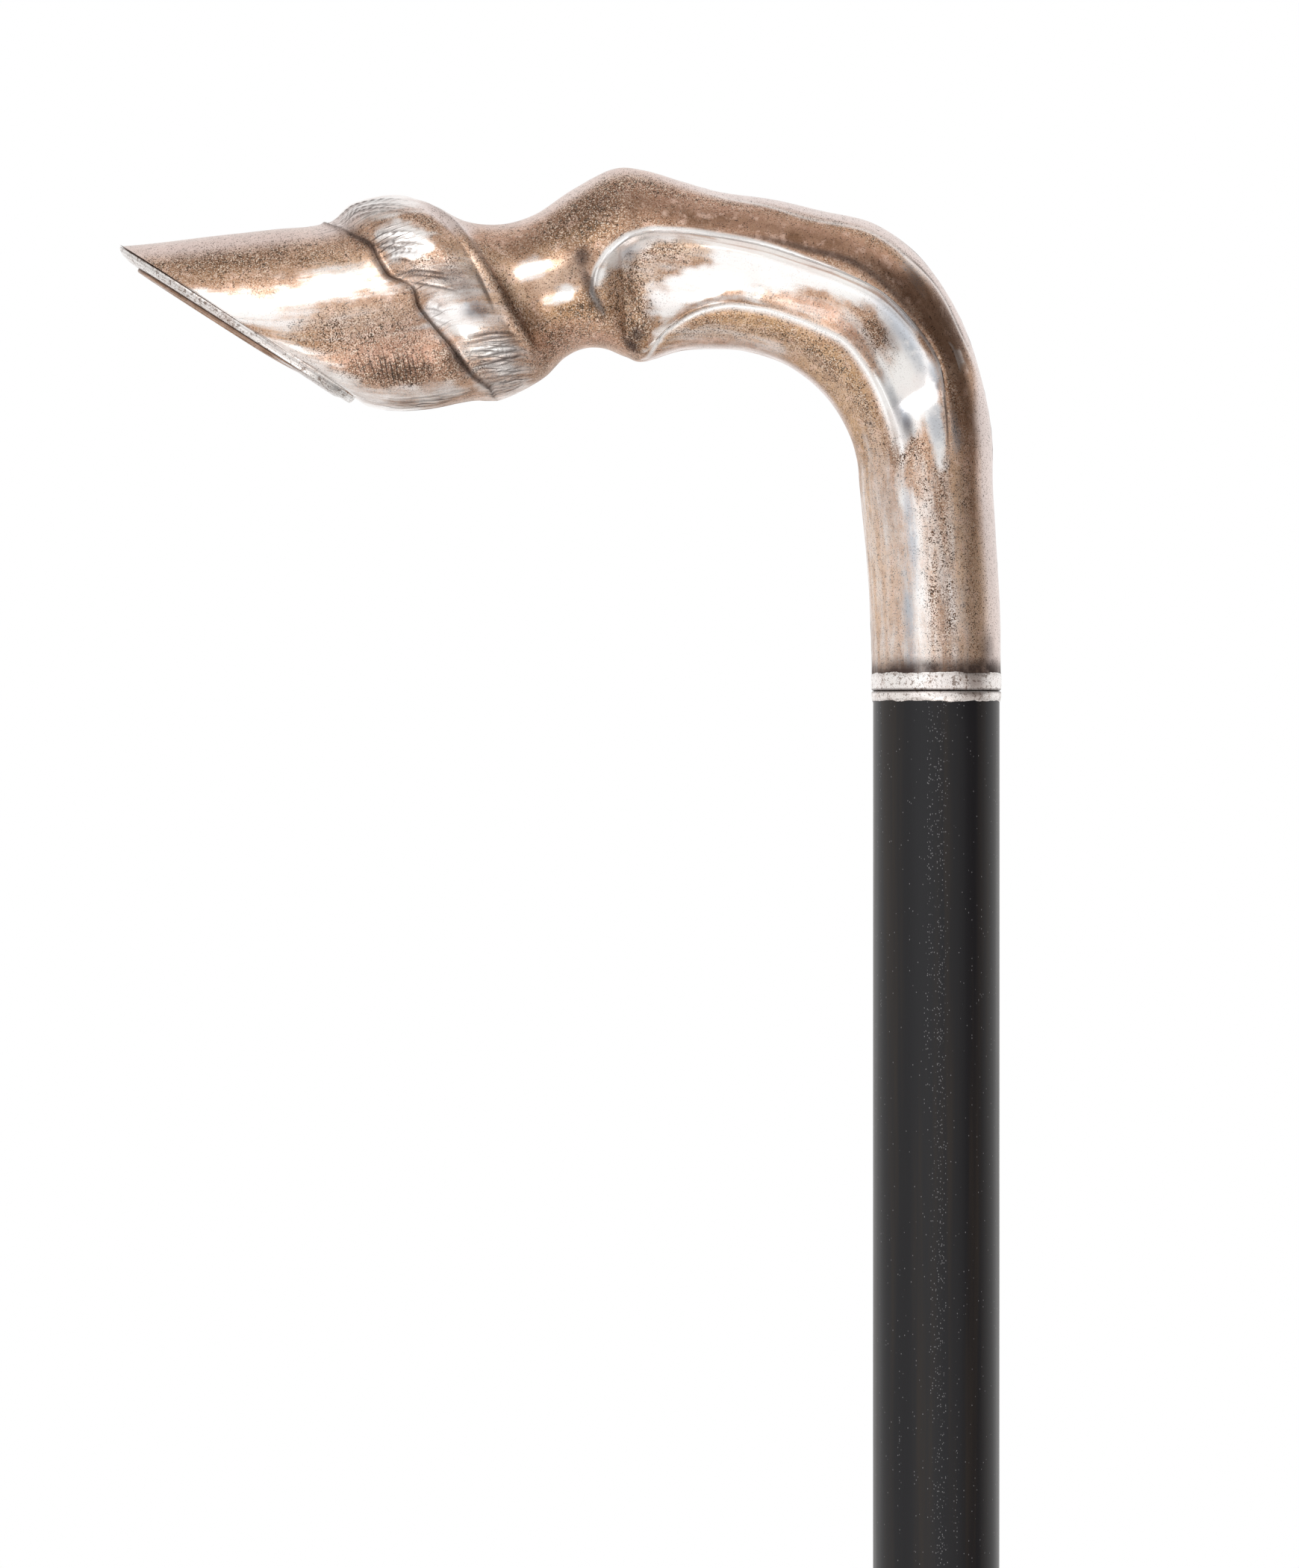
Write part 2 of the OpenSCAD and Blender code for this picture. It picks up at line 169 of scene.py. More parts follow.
# studio
studio = {
    "distance": 1800, "centreX": -41.7, "centreZ": 810.6, "frameHeight": 228.0, "sensor": 36.0,
    "floorReach": 1200, "aim": (-45, 0, 870),
    "floorLight": (-600, -200, 600), "floorLightSize": 1400, "floorBrightness": 0.45,
    "room": (0.93, 0.91, 0.89, 1), "softboxColour": (1.0, 0.98, 0.95),
    "floorColours": ((0.80, 0.79, 0.78, 1), (0.86, 0.85, 0.84, 1)),
    # walls: azimuth from the camera (right is plus), elevation, half sizes, softness, colour
    "walls": [
        ("highLeft", -85, 56, 44, 15, 14, (0.58, 0.55, 0.53)),
        ("rightLow", 80, -36, 34, 24, 12, (0.58, 0.54, 0.51)),
        ("rightEdge", 73, -2, 20, 16, 8, (0.32, 0.28, 0.26)),
        ("rightHigh", 71, 27, 33, 20, 7, (0.155, 0.13, 0.115)),
        ("front", -20, 4, 24, 28, 12, (1.22, 1.21, 1.20)),
        ("back", 180, 5, 58, 60, 14, (1.06, 1.05, 1.04)),
    ],
    # softboxes: azimuth, elevation, half sizes, distance, brightness
    "softboxes": [
        ("softboxHigh", -12, 40, 15, 12, 1300, 2.4),
        ("softboxLow", 14, -39, 19, 6, 1080, 2.2),
    ],
}


def setCamera():
    camera = bpy.data.cameras.new("camera")
    camera.sensor_fit = "VERTICAL"
    camera.sensor_height = studio["sensor"]
    camera.lens = studio["sensor"] * studio["distance"] / studio["frameHeight"]
    camera.clip_end = 20
    holder = newObject("camera", camera)
    holder.location = (studio["centreX"] * mm, -studio["distance"] * mm, studio["centreZ"] * mm)
    holder.rotation_euler = (math.pi / 2, 0, 0)
    bpy.context.scene.camera = holder


def setWorld():
    world = bpy.data.worlds.new("studio")
    bpy.context.scene.world = world
    world.use_nodes = True
    tree = world.node_tree
    tree.nodes.clear()
    parts = separated(tree, tree.nodes.new("ShaderNodeTexCoord").outputs["Generated"])
    azimuth = maths(tree, "ARCTAN2", parts["X"], times(tree, parts["Y"], -1.0))
    elevation = maths(tree, "ARCSINE", parts["Z"])
    light = studio["room"]
    for name, turn, lift, halfWidth, halfHeight, soft, colour in studio["walls"]:
        aside = maths(tree, "WRAP", minus(tree, azimuth, math.radians(turn)), math.pi, -math.pi)
        aside = maths(tree, "ABSOLUTE", aside)
        above = maths(tree, "ABSOLUTE", minus(tree, elevation, math.radians(lift)))
        across = between(tree, aside, math.radians(halfWidth + soft), math.radians(halfWidth - soft))
        along = between(tree, above, math.radians(halfHeight + soft), math.radians(halfHeight - soft))
        light = mixColour(tree, times(tree, across, along), light, colour + (1,))
    lit = addNode(tree, "ShaderNodeBackground", {"Color": light, "Strength": 1.0})
    plain = addNode(tree, "ShaderNodeBackground", {"Color": (1, 1, 1, 1), "Strength": 1.0})
    seen = tree.nodes.new("ShaderNodeLightPath").outputs["Is Camera Ray"]
    mixed = addNode(tree, "ShaderNodeMixShader", {0: seen, 1: lit.outputs[0], 2: plain.outputs[0]})
    addNode(tree, "ShaderNodeOutputWorld", {"Surface": mixed.outputs[0]})


# A rectangular lamp: its size is in metres, and its power grows with its area
def addLamp(name, centre, width, height, brightness, colour=(1, 1, 1)):
    lamp = bpy.data.lights.new(name, "AREA")
    lamp.shape = "RECTANGLE"
    lamp.size = width
    lamp.size_y = height
    lamp.energy = brightness * math.pi * lamp.size * lamp.size_y
    lamp.color = colour
    holder = newObject(name, lamp)
    holder.location = centre * mm
    holder.visible_camera = False
    return holder


def setSoftboxes():
    for name, turn, lift, halfWidth, halfHeight, distance, brightness in studio["softboxes"]:
        turn = math.radians(turn)
        lift = math.radians(lift)
        towards = Vector((math.sin(turn) * math.cos(lift), -math.cos(turn) * math.cos(lift), math.sin(lift)))
        width, height = (2 * distance * mm * math.tan(math.radians(half)) for half in (halfWidth, halfHeight))
        centre = Vector(studio["aim"]) + towards * distance
        holder = addLamp(name, centre, width, height, brightness, studio["softboxColour"])
        holder.rotation_euler = towards.to_track_quat("Z", "Y").to_euler()


# A wide lamp that shines down on the floor, so that the handle mirrors a pale floor
def setFloorLight():
    size = studio["floorLightSize"] * mm
    addLamp("floorLight", Vector(studio["floorLight"]), size, size, studio["floorBrightness"])


def setFloor():
    material, tree, where = newMaterial("paleFloor")
    coat(tree, {"Base Color": mixColour(tree, noise(tree, where, 40.0, 3), *studio["floorColours"]),
                "Roughness": 0.8})
    reach = studio["floorReach"] * mm
    corners = [(-reach, -reach, 0), (reach, -reach, 0), (reach, reach, 0), (-reach, reach, 0)]
    newPiece("floor", corners, [(0, 1, 2, 3)], material, smooth=False)


setCamera()
setWorld()
setSoftboxes()
setFloorLight()
setFloor()
view = bpy.context.scene.view_settings
view.view_transform = "Standard"
view.look = "None"
print("studio set")


# the leg's skin
leg = {
    "rise": 61.9, "depth": 22.8, "under": 11.0, "width": 18.8,
    "bendRadius": 20.0, "bendSwell": 3.0, "fullestTurn": 55, "bendSlack": 0.6, "lean": 1.8,
    "hollow": 2.4, "cannon": 11.4, "fetlockLength": 20.7, "fetlockRise": 15.2,
    "fetlockWidth": 19.8, "pasternWidth": 17.8, "bandLength": 25.6, "bandWidth": 26.6,
    "hoofLength": 29.8, "hoofWidth": 28.0, "cleft": 1.6, "socket": 18.7, "mouth": 3.35,
    "knuckle": 1.4, "sheet": 0.9, "hollowStep": 0.09, "hollowStart": 0.4, "hollowTurn": 9,
}


# One section: top x z, underside x z, half width, two ridge angles, hollow, fullness, bow towards the shaft
def section(top, under, halfWidth, lower=-30, upper=22, hollow=0.0, full=1.0, bow=0.0):
    return [top[0], leg["rise"] + top[1], under[0], leg["rise"] + under[1], halfWidth,
            lower, upper, hollow, full, bow]


def eased(share):
    share = min(1, max(0, share))
    return share * share * (3 - 2 * share)


def bendSection(turn, centreX, centreZ):
    fullness = 12 if turn > leg["fullestTurn"] else 27
    swell = leg["bendSwell"] * math.exp(-((turn - leg["fullestTurn"]) / fullness) ** 2)
    least = leg["socket"] + leg["bendSlack"]
    depth = least + (leg["depth"] - least) * turn / 90 + swell
    upper = float(np.interp(turn, [0, 10, 20, 30, 60, 90], [19, 20, 24, 29, 16, 23.6]))
    lower = -25 if turn > leg["fullestTurn"] else -21
    along = math.cos(math.radians(turn))
    rise = math.sin(math.radians(turn))
    outside = leg["bendRadius"] + depth
    inside = leg["bendRadius"]
    return section(
        (centreX + outside * along, centreZ + outside * rise),
        (centreX + inside * along, centreZ + inside * rise),
        leg["width"] / 2, lower, upper, leg["hollow"] * eased((turn - 13) / 25),
    )


def socketSection(down, bendZ):
    rise = bendZ + (leg["mouth"] - bendZ) * down - leg["rise"]
    lean = leg["lean"] * (1 - down) ** 2
    slack = leg["bendSlack"] / 4 * (1 - down)
    half = leg["socket"] / 2
    width = leg["width"] + (leg["socket"] - leg["width"]) * down
    return section((half - lean * 0.8 + slack, rise), (-half - lean - slack, rise), width / 2)


def makeSections():
    bendX = -(leg["socket"] / 2 + leg["lean"] + leg["bendRadius"])
    bendZ = leg["rise"] - leg["under"] - leg["bendRadius"]
    ergot = bendX - leg["cannon"]
    neck = ergot - leg["fetlockLength"]
    coronet = neck - leg["bandLength"]
    sole = coronet - leg["hoofLength"]
    hoof = leg["hoofLength"]
    band = leg["bandLength"]
    halfHoof = leg["hoofWidth"] / 2
    halfBand = leg["bandWidth"] / 2
    halfPastern = leg["pasternWidth"] / 2
    halfFetlock = leg["fetlockWidth"] / 2
    hollow = leg["hollow"]
    rows = [
        section((sole, 3.9), (coronet + 4.4, -17.95), halfHoof, full=0.8),
        section((sole + 0.22 * hoof, 4.6), (coronet + 7.2, -20), halfHoof - 0.1, full=0.82, bow=0.5),
        section((sole + 0.48 * hoof, 5.5), (coronet + 11.2, -20.7), halfHoof - 0.4, full=0.84, bow=1.2),
        section((sole + 0.74 * hoof, 6.4), (coronet + 16, -20.4), halfHoof - 0.8, full=0.87, bow=2.2),
        section((coronet, 7.3), (neck - 4.3, -19.2), halfHoof - 1.3, full=0.9, bow=3),
        section((coronet + 0.16 * band, 10.3), (neck - 1.8, -18.8), halfBand - 0.1, full=0.92, bow=3),
        section((coronet + 0.4 * band, 11.4), (neck + 1.2, -17.9), halfBand, full=0.95, bow=2.6),
        section((coronet + 0.61 * band, 9.9), (neck + 4.2, -16.4), halfBand - 1.1, bow=2),
        section((coronet + 0.8 * band, 7.6), (neck + 6.6, -14.8), (halfBand + halfPastern) / 2 - 0.6, bow=1),
        section((neck, 7.2), (neck + 9.2, -12.2), halfPastern + 0.2),
        section((neck + 5, 8.7), (neck + 12, -10.9), halfPastern, -44, -10),
        section((neck + 10.4, 12.2), (neck + 15, -10.9), halfPastern + 0.5, -58, -6),
        section((ergot - 4.5, leg["fetlockRise"]), (ergot - 2.6, -12.1), halfFetlock, -66, 9, hollow * 0.45),
        section((ergot, leg["fetlockRise"] - 0.2), (ergot, -12.8), halfFetlock, -62, 19, hollow),
        section((ergot + leg["cannon"] / 2, 13.4), (ergot + leg["cannon"] / 2, -11.2),
                (leg["fetlockWidth"] + leg["width"]) / 4, -37, 22, hollow),
    ]
    rows += [bendSection(turn, bendX, bendZ - leg["rise"]) for turn in range(90, -1, -10)]
    rows += [socketSection(down, bendZ) for down in (0.25, 0.5, 0.75, 1)]
    return np.array(rows, float)


sections = makeSections()


# A smooth curve through the sections, at places counted in sections from the sole
def sectionAt(place):
    last = len(sections) - 1
    i = np.minimum(np.floor(place).astype(int), last - 1)
    a, b, c, d = (sections[np.clip(i + k, 0, last)] for k in (-1, 0, 1, 2))
    t = (place - i)[..., None]
    curved = (2 * a - 5 * b + 4 * c - d) * t ** 2 + (3 * b - a - 3 * c + d) * t ** 3
    return 0.5 * (2 * b + (c - a) * t + curved)


def bell(value, centre, spread):
    return np.exp(-((value - centre) / spread) ** 2)


# Depth of the hollow from its lower ridge, at 0, to its upper ridge, at 1
def hollowFloor(across, place):
    across = across.clip(0, 1)
    start = np.interp(place, [16, 18.5], [leg["hollowStart"], 0.08])
    step = 1 - np.exp(-across / leg["hollowStep"])
    return (start * step + (1 - start) * across) * (1 - across ** leg["hollowTurn"])


def skinPoint(place, angle, inset=0.0):
    s = sectionAt(place)
    turn = np.radians(angle)
    half = np.hypot(s[..., 0] - s[..., 2], s[..., 1] - s[..., 3]) / 2
    sunk = inset - leg["knuckle"] * bell(place, 9.65, 1.15) * bell(angle, 3, 26)
    cos = np.cos(turn).clip(0)
    sin = np.sin(turn)
    bulge = s[..., 4] * cos ** s[..., 8]
    low = np.radians(s[..., 5])
    high = np.radians(s[..., 6])
    atLow = s[..., 4] * np.cos(low) ** s[..., 8]
    atHigh = s[..., 4] * np.cos(high) ** s[..., 8]
    across = (sin - np.sin(low)) / (np.sin(high) - np.sin(low))
    scoop = atLow + (atHigh - atLow) * across - s[..., 7] * hollowFloor(across, place)
    inside = (turn > low) & (turn < high) & (s[..., 7] > 0)
    share = np.minimum(1, s[..., 7] / (0.5 * leg["hollow"]))
    out = np.where(inside, bulge + (scoop - bulge) * share, bulge)
    out = np.maximum(out - sunk * cos, 0)
    heel = np.maximum(0, 1 - (np.abs(place - 2.2) / 3.2) ** 2) * np.abs(sin) ** 24
    up = sin * (half - sunk) + np.where(angle < 0, leg["cleft"] * heel, 0)
    leanX = (s[..., 0] - s[..., 2]) / (2 * half)
    leanZ = (s[..., 1] - s[..., 3]) / (2 * half)
    x = (s[..., 0] + s[..., 2]) / 2 + up * leanX + s[..., 9] * cos ** 2
    z = (s[..., 1] + s[..., 3]) / 2 + up * leanZ
    return np.stack([x, -out, z + shoulder], -1)


# the leg's relief
relief = {
    # places (counted in sections) and angles along each chased line
    "coronet": [
        (5.4, -90), (5.25, -62), (4.6, -46), (4.32, -32), (4.2, -22), (4.08, -12), (4.05, -6), (4.1, 4),
        (4.35, 12), (4.05, 22), (4.15, 32), (4.4, 42), (4.2, 52), (4.0, 82), (4.0, 90),
    ],
    "bandRidge": [
        (7.4, -90), (7.3, -50), (7.0, -28), (6.7, -10), (6.8, 6), (6.9, 28), (6.95, 52), (6.55, 72),
        (6.5, 90),
    ],
    "crescent": [(11.3, -34), (11.0, -18), (11.25, -4), (11.65, 6), (12.35, 14), (13.25, 21)],
    "lowerStart": [(12.95, -76), (13.1, -66), (13.4, -46), (13.95, -38)],
    "backCrease": [
        (14.3, 72), (15.5, 66), (16.6, 58), (17.4, 60), (18.2, 62), (19.0, 62), (19.8, 68), (20.7, 66),
        (21.6, 74),
    ],
    "pasternCrease": [(10.7, 6), (10.85, -12), (11.0, -26), (11.3, -40)],
}
# Engraved hair and scratches: how many, from which places and angles to which, spread, depth
hair = {
    "forelock": {"count": 9, "from": (4.15, 76), "to": (6.0, 62), "spread": (0.4, 18), "depth": 0.18},
    "upperTuft": {"count": 7, "from": (4.45, 37), "to": (5.4, 29), "spread": (0.7, 18), "depth": 0.22},
    "middleTuft": {"count": 5, "from": (4.35, 19), "to": (5.4, 8), "spread": (0.5, 12), "depth": 0.22},
    "lowTuft": {"count": 3, "from": (4.25, -2), "to": (4.9, -8), "spread": (0.3, 8), "depth": 0.12},
    "heelArcs": {"count": 10, "from": (5.05, -35), "to": (7.2, -39), "spread": (0.5, 26), "depth": 0.26},
    "heelUnder": {"count": 9, "from": (5.1, -62), "to": (6.9, -64), "spread": (0.6, 24), "depth": 0.15},
    "heelGrowth": {"count": 9, "from": (1.6, -66), "to": (4.4, -68), "spread": (0.8, 22), "depth": 0.12},
    "hoofScratches": {"count": 15, "from": (2.75, -44), "to": (2.9, -18), "spread": (1.3, 12), "depth": 0.1},
}
skinGrid = {
    "rings": [(0.0, 62), (3.6, 154), (8.2, 50), (11.2, 60), (14.0, 110), (22.5, 55), (28.0, 0)],
    "under": 54, "across": 72, "top": 56, "inside": (3, 4, 3),
}


# A moving average over so many values
def evened(values, width):
    return np.convolve(np.pad(values, width // 2, mode="edge"), np.ones(width) / width, mode="valid")


# Length of a path up to each of its points
def runAlong(path):
    return np.concatenate([[0], np.cumsum(np.linalg.norm(np.diff(path, axis=0), axis=1))])


def ringPlaces():
    rows = skinGrid["rings"]
    steps = [np.linspace(start[0], end[0], start[1], endpoint=False) for start, end in zip(rows, rows[1:])]
    return np.concatenate(steps + [[rows[-1][0]]])


# Angles of a ring's columns, evenly spaced along the skin and snapped to its two ridges
def columnAngles(places, counts, inset=0.0):
    fine = np.linspace(-90, 90, 721)
    rows = []
    for place in places:
        run = runAlong(skinPoint(np.full(fine.shape, place), fine, inset))
        lower, upper = sectionAt(np.array([place]))[0][5:7]
        marks = np.interp([-90, lower, upper, 90], fine, run)
        steps = [np.linspace(marks[k], marks[k + 1], counts[k], endpoint=False) for k in range(3)]
        rows.append(np.interp(np.concatenate(steps + [[marks[3]]]), run, fine))
    return np.array(rows)


def gridNormals(points):
    normals = np.cross(np.gradient(points, axis=1), np.gradient(points, axis=0))
    normals[:, (0, -1), 1] = 0
    return normals / np.linalg.norm(normals, axis=-1, keepdims=True).clip(1e-9)


# Distance, in millimetres along the skin, from a line given as place by angle
def pastLine(name, place, angle, points):
    line = np.array(relief[name])
    order = np.argsort(line[:, 1])
    lineAngle = np.linspace(-90, 90, 361)
    linePlace = evened(np.interp(lineAngle, line[order, 1], line[order, 0]), 9)
    perPlace = np.linalg.norm(np.gradient(points, axis=0), axis=-1) / np.gradient(place, axis=0).clip(1e-6)
    perAngle = np.linalg.norm(np.gradient(points, axis=1), axis=-1) / np.gradient(angle, axis=1).clip(1e-6)
    slant = np.interp(angle, lineAngle, np.gradient(linePlace, lineAngle)) * perPlace / perAngle.clip(1e-3)
    return (place - np.interp(angle, lineAngle, linePlace)) * perPlace / np.sqrt(1 + slant ** 2)


# Points along a line through (place, angle) marks, every fraction of a millimetre
def traced(marks, step=0.2):
    marks = np.array(marks, float)
    spaced = np.linspace(0, len(marks) - 1, 60 * len(marks))
    place, angle = (evened(np.interp(spaced, np.arange(len(marks)), marks[:, k]), 25) for k in (0, 1))
    path = skinPoint(place, angle)
    run = runAlong(path)
    even = np.arange(0, run[-1], step)
    return np.stack([np.interp(even, run, path[:, k]) for k in range(3)], -1)


def ridgeMarks(column, first, last):
    places = np.arange(first, last, 0.25)
    return [(p, sectionAt(np.array([p]))[0][column]) for p in places]


# For every point near a path: its number, the number of the path's nearest point, and the distance
def nearest(path, flat, reach):
    tree = kdtree.KDTree(len(path))
    for i, p in enumerate(path):
        tree.insert(p, i)
    tree.balance()
    near = np.where(((flat > path.min(0) - reach) & (flat < path.max(0) + reach)).all(1))[0]
    for i in near:
        _, k, d = tree.find(flat[i])
        yield i, k, d


# Nearest distance to a traced path, which side of it a point is on, and how far along it that is
def fromPath(path, points, normals):
    tangents = np.gradient(path, axis=0)
    flat = points.reshape(-1, 3)
    flatNormals = normals.reshape(-1, 3)
    distance = np.full(len(flat), 99.0)
    side = np.ones(len(flat))
    share = np.zeros(len(flat))
    for i, k, d in nearest(path, flat, 3.0):
        distance[i] = d
        share[i] = k / len(path)
        side[i] = np.sign(np.dot(np.cross(tangents[k], flat[i] - path[k]), flatNormals[i]))
    return [values.reshape(points.shape[:2]) for values in (distance, side, share)]


def strokePoints():
    dice = random.Random(7)
    points = []
    weights = []
    for group in hair.values():
        for n in range(group["count"]):
            lane = (n + 0.5) / group["count"] - 0.5
            shift = group["spread"][1] * (lane + dice.uniform(-0.25, 0.25) / group["count"])
            begin = dice.uniform(-0.5, 0.5) * group["spread"][0]
            end = dice.uniform(-0.5, 0.5) * group["spread"][0]
            if group is hair["hoofScratches"]:
                begin = end = group["spread"][0] * lane
                shift = dice.uniform(-0.5, 0.5) * group["spread"][1]
            start = (group["from"][0] + begin, group["from"][1] + shift)
            stop = (group["to"][0] + end, group["to"][1] + shift + dice.uniform(-2, 2))
            middle = ((start[0] + stop[0]) / 2, (start[1] + stop[1]) / 2 + dice.uniform(-1.5, 1.5))
            path = traced([start, middle, stop], 0.12)
            fade = np.sin(np.linspace(0.15, math.pi - 0.15, len(path))) ** 0.6
            points.append(path)
            weights.append(fade * group["depth"] * dice.uniform(0.6, 1.2))
    return np.concatenate(points), np.concatenate(weights)


def engraved(points, width):
    path, weight = strokePoints()
    flat = points.reshape(-1, 3)
    cut = np.zeros(len(flat))
    for i, k, d in nearest(path, flat, 1.0):
        if d < 3 * width:
            cut[i] = weight[k] * math.exp(-(d / width) ** 2)
    return cut.reshape(points.shape[:2])


# Slow unevenness of a hand-finished skin: a sum of gentle waves with fixed directions
def waviness(points, seed, wavelength, height):
    waves = 14
    dice = np.random.default_rng(seed)
    total = np.zeros(points.shape[:2])
    for n in range(waves):
        direction = dice.normal(size=3)
        direction *= 2 * math.pi / (wavelength * dice.uniform(0.7, 1.5)) / np.linalg.norm(direction)
        total += np.sin(points @ direction + dice.uniform(0, 2 * math.pi))
    return height * total / math.sqrt(waves)


# Heights over the skin of what is chased into it, and widths, in millimetres. The fades are along each line.
chased = {
    "groove": -0.34, "grooveWidth": 0.42, "lip": 0.45, "lipRise": 0.4, "lipFall": 2.6,
    "underLip": -0.14, "underLipFall": 1.2, "bandRidge": 0.24, "bandRidgeWidth": 0.5,
    "valley": -0.5, "valleyAt": 1.6, "valleyWidth": 1.0,
    "upperRidge": 0.24, "upperRidgeWidth": 0.34, "upperLine": -0.1, "upperLineAt": 0.3, "lineWidth": 0.16,
    "lowerRidge": 0.28, "lowerRidgeWidth": 0.6, "cutWidth": 0.16, "seam": 0.05, "toeEdge": -0.25,
    "creases": {
        "backCrease": (0.16, 0.4, ([0, 0.15, 0.9, 1], [0, 1, 1, 0])),
        "pasternCrease": (-0.45, 0.6, ([0, 0.3, 0.8, 1], [0, 1, 1, 0])),
    },
}

# How strongly a line is chased, or how far it is shifted: by angle, by place, or along its own length
fades = {
    "groove": ([-84, -62, 66, 88], [0, 1, 1, 0.5]), "lip": ([-86, -60, 70, 88], [0, 1, 1, 0.4]),
    "underLip": ([-86, -60], [0, 1]), "bandRidge": ([-56, -36, 60, 84], [0, 1, 1, 0.2]),
    "bandCrest": ([-50, -10, 20, 60], [0, 0.35, 0.6, 1]),
    "upperShift": ([15.5, 17.5, 19], [-0.3, 0, 0.35]), "upperPolishAndHighlight": ([17, 19.5], [1, 0.35]),
    "lowerShift": ([14.5, 15.5, 16.5, 19.5, 21.5], [0.9, 0.7, 0.35, 0.6, 0.9]),
    "lowerPolishAndHighlightWidth": ([14, 16.5], [0.35, 0.55]),
    "upperRidge": ([0, 0.05, 0.86, 1], [0.2, 1, 1, 0]), "lowerRidge": ([0, 0.05, 0.86, 1], [0.4, 1, 1, 0]),
    "ridgeEnds": ([0, 0.1, 0.86, 1], [0, 1, 1, 0]),
}


def makeRelief(place, angle, points, normals, seed):
    marks = {}
    height = waviness(points, seed, 13, 0.035) + waviness(points, seed + 1, 4.5, 0.008)

    uneven = waviness(points, seed + 3, 5.0, 0.5)
    groove = pastLine("coronet", place, angle, points) + 0.25 * uneven
    over = groove.clip(0)
    under = groove.clip(-9, 0)
    fade = np.interp(angle, *fades["groove"]) * (0.75 + 0.5 * uneven).clip(0.2, 1.2)
    height += chased["groove"] * fade * bell(groove, 0, chased["grooveWidth"])
    tuft = (1 - np.exp(-over / chased["lipRise"])) * np.exp(-over / chased["lipFall"])
    height += chased["lip"] * tuft * np.interp(angle, *fades["lip"])
    below = np.where(groove < 0, np.exp(under / chased["underLipFall"]), 0)
    height += chased["underLip"] * below * np.interp(angle, *fades["underLip"])
    # painted shade: the groove and the skin just below the lip are marked for darkening in the material
    marks["groove"] = fade * bell(groove, 0, 0.4) * (1 - 0.5 * bell(angle, -10, 12))
    marks["underLip"] = np.where(groove < 0, np.exp(under / 0.9), np.exp(-over / 0.4))

    ridge = pastLine("bandRidge", place, angle, points)
    fade = np.interp(angle, *fades["bandRidge"])
    crest = np.interp(angle, *fades["bandCrest"]) * (0.8 + 0.5 * uneven).clip(0.2, 1.2)
    height += fade * (chased["bandRidge"] * crest * bell(ridge, 0, chased["bandRidgeWidth"])
                      + chased["valley"] * bell(ridge, chased["valleyAt"], chased["valleyWidth"]))
    # painted shade in the valley behind the band's ridge
    marks["valley"] = fade * bell(ridge, 1.5, 0.9)

    upperPath = traced(relief["crescent"] + ridgeMarks(6, 13.5, 23.3))
    distance, side, share = fromPath(upperPath, points, normals)
    fade = np.interp(share, *fades["upperRidge"])
    height += chased["upperRidge"] * fade * bell(distance, 0, chased["upperRidgeWidth"])
    beside = np.where(side > 0, bell(distance, chased["upperLineAt"], chased["lineWidth"]), 0)
    height += chased["upperLine"] * fade * beside
    # painted shade along the fine line under the upper ridge
    marks["upperLine"] = 0.75 * fade * np.where(side > 0, bell(distance, 0.27, chased["lineWidth"]), 0)
    line = side * distance - np.interp(place, *fades["upperShift"])
    # painted highlight: a bright line along the upper ridge, partly polish
    marks["upperRidge"] = fade * bell(line, 0, 0.28) * np.interp(place, *fades["upperPolishAndHighlight"])
    past = np.where(distance < 3, np.interp(-line, [0.2, 0.5], [0, 1]), 0)
    marks["overRidge"] = past * np.interp(share, *fades["ridgeEnds"])

    lowerPath = traced(relief["lowerStart"] + ridgeMarks(5, 14.2, 23.3))
    distance, side, share = fromPath(lowerPath, points, normals)
    fade = np.interp(share, *fades["lowerRidge"])
    line = side * distance - np.interp(place, *fades["lowerShift"])
    height += chased["lowerRidge"] * fade * bell(line, 0, chased["lowerRidgeWidth"])
    # painted highlight: a bright line along the lower ridge, partly polish
    marks["lowerRidge"] = fade * bell(line, 0, np.interp(place, *fades["lowerPolishAndHighlightWidth"]))
    past = np.where(distance < 3, np.interp(line, [0.3, 0.8], [0, 1]), 0)
    marks["underRidge"] = past * np.interp(share, *fades["ridgeEnds"]) * (place > 14.2)

    # the back crease is marked for a painted highlight and the pastern crease for painted shade
    for name, (rise, width, fadeCurve) in chased["creases"].items():
        distance, side, share = fromPath(traced(relief[name]), points, normals)
        marks[name] = np.interp(share, *fadeCurve) * bell(distance, 0, width)
        height += rise * marks[name]

    cut = engraved(points, chased["cutWidth"])
    height -= cut
    marks["cut"] = cut / chased["cutWidth"]

    seam = bell(90 - np.abs(angle), 0, 1.2) * (place > 0.4)
    height += seam * (chased["seam"] + waviness(points, seed + 2, 2.2, 0.03))
    height += chased["toeEdge"] * bell(place, 0, 0.05)
    return height, marks
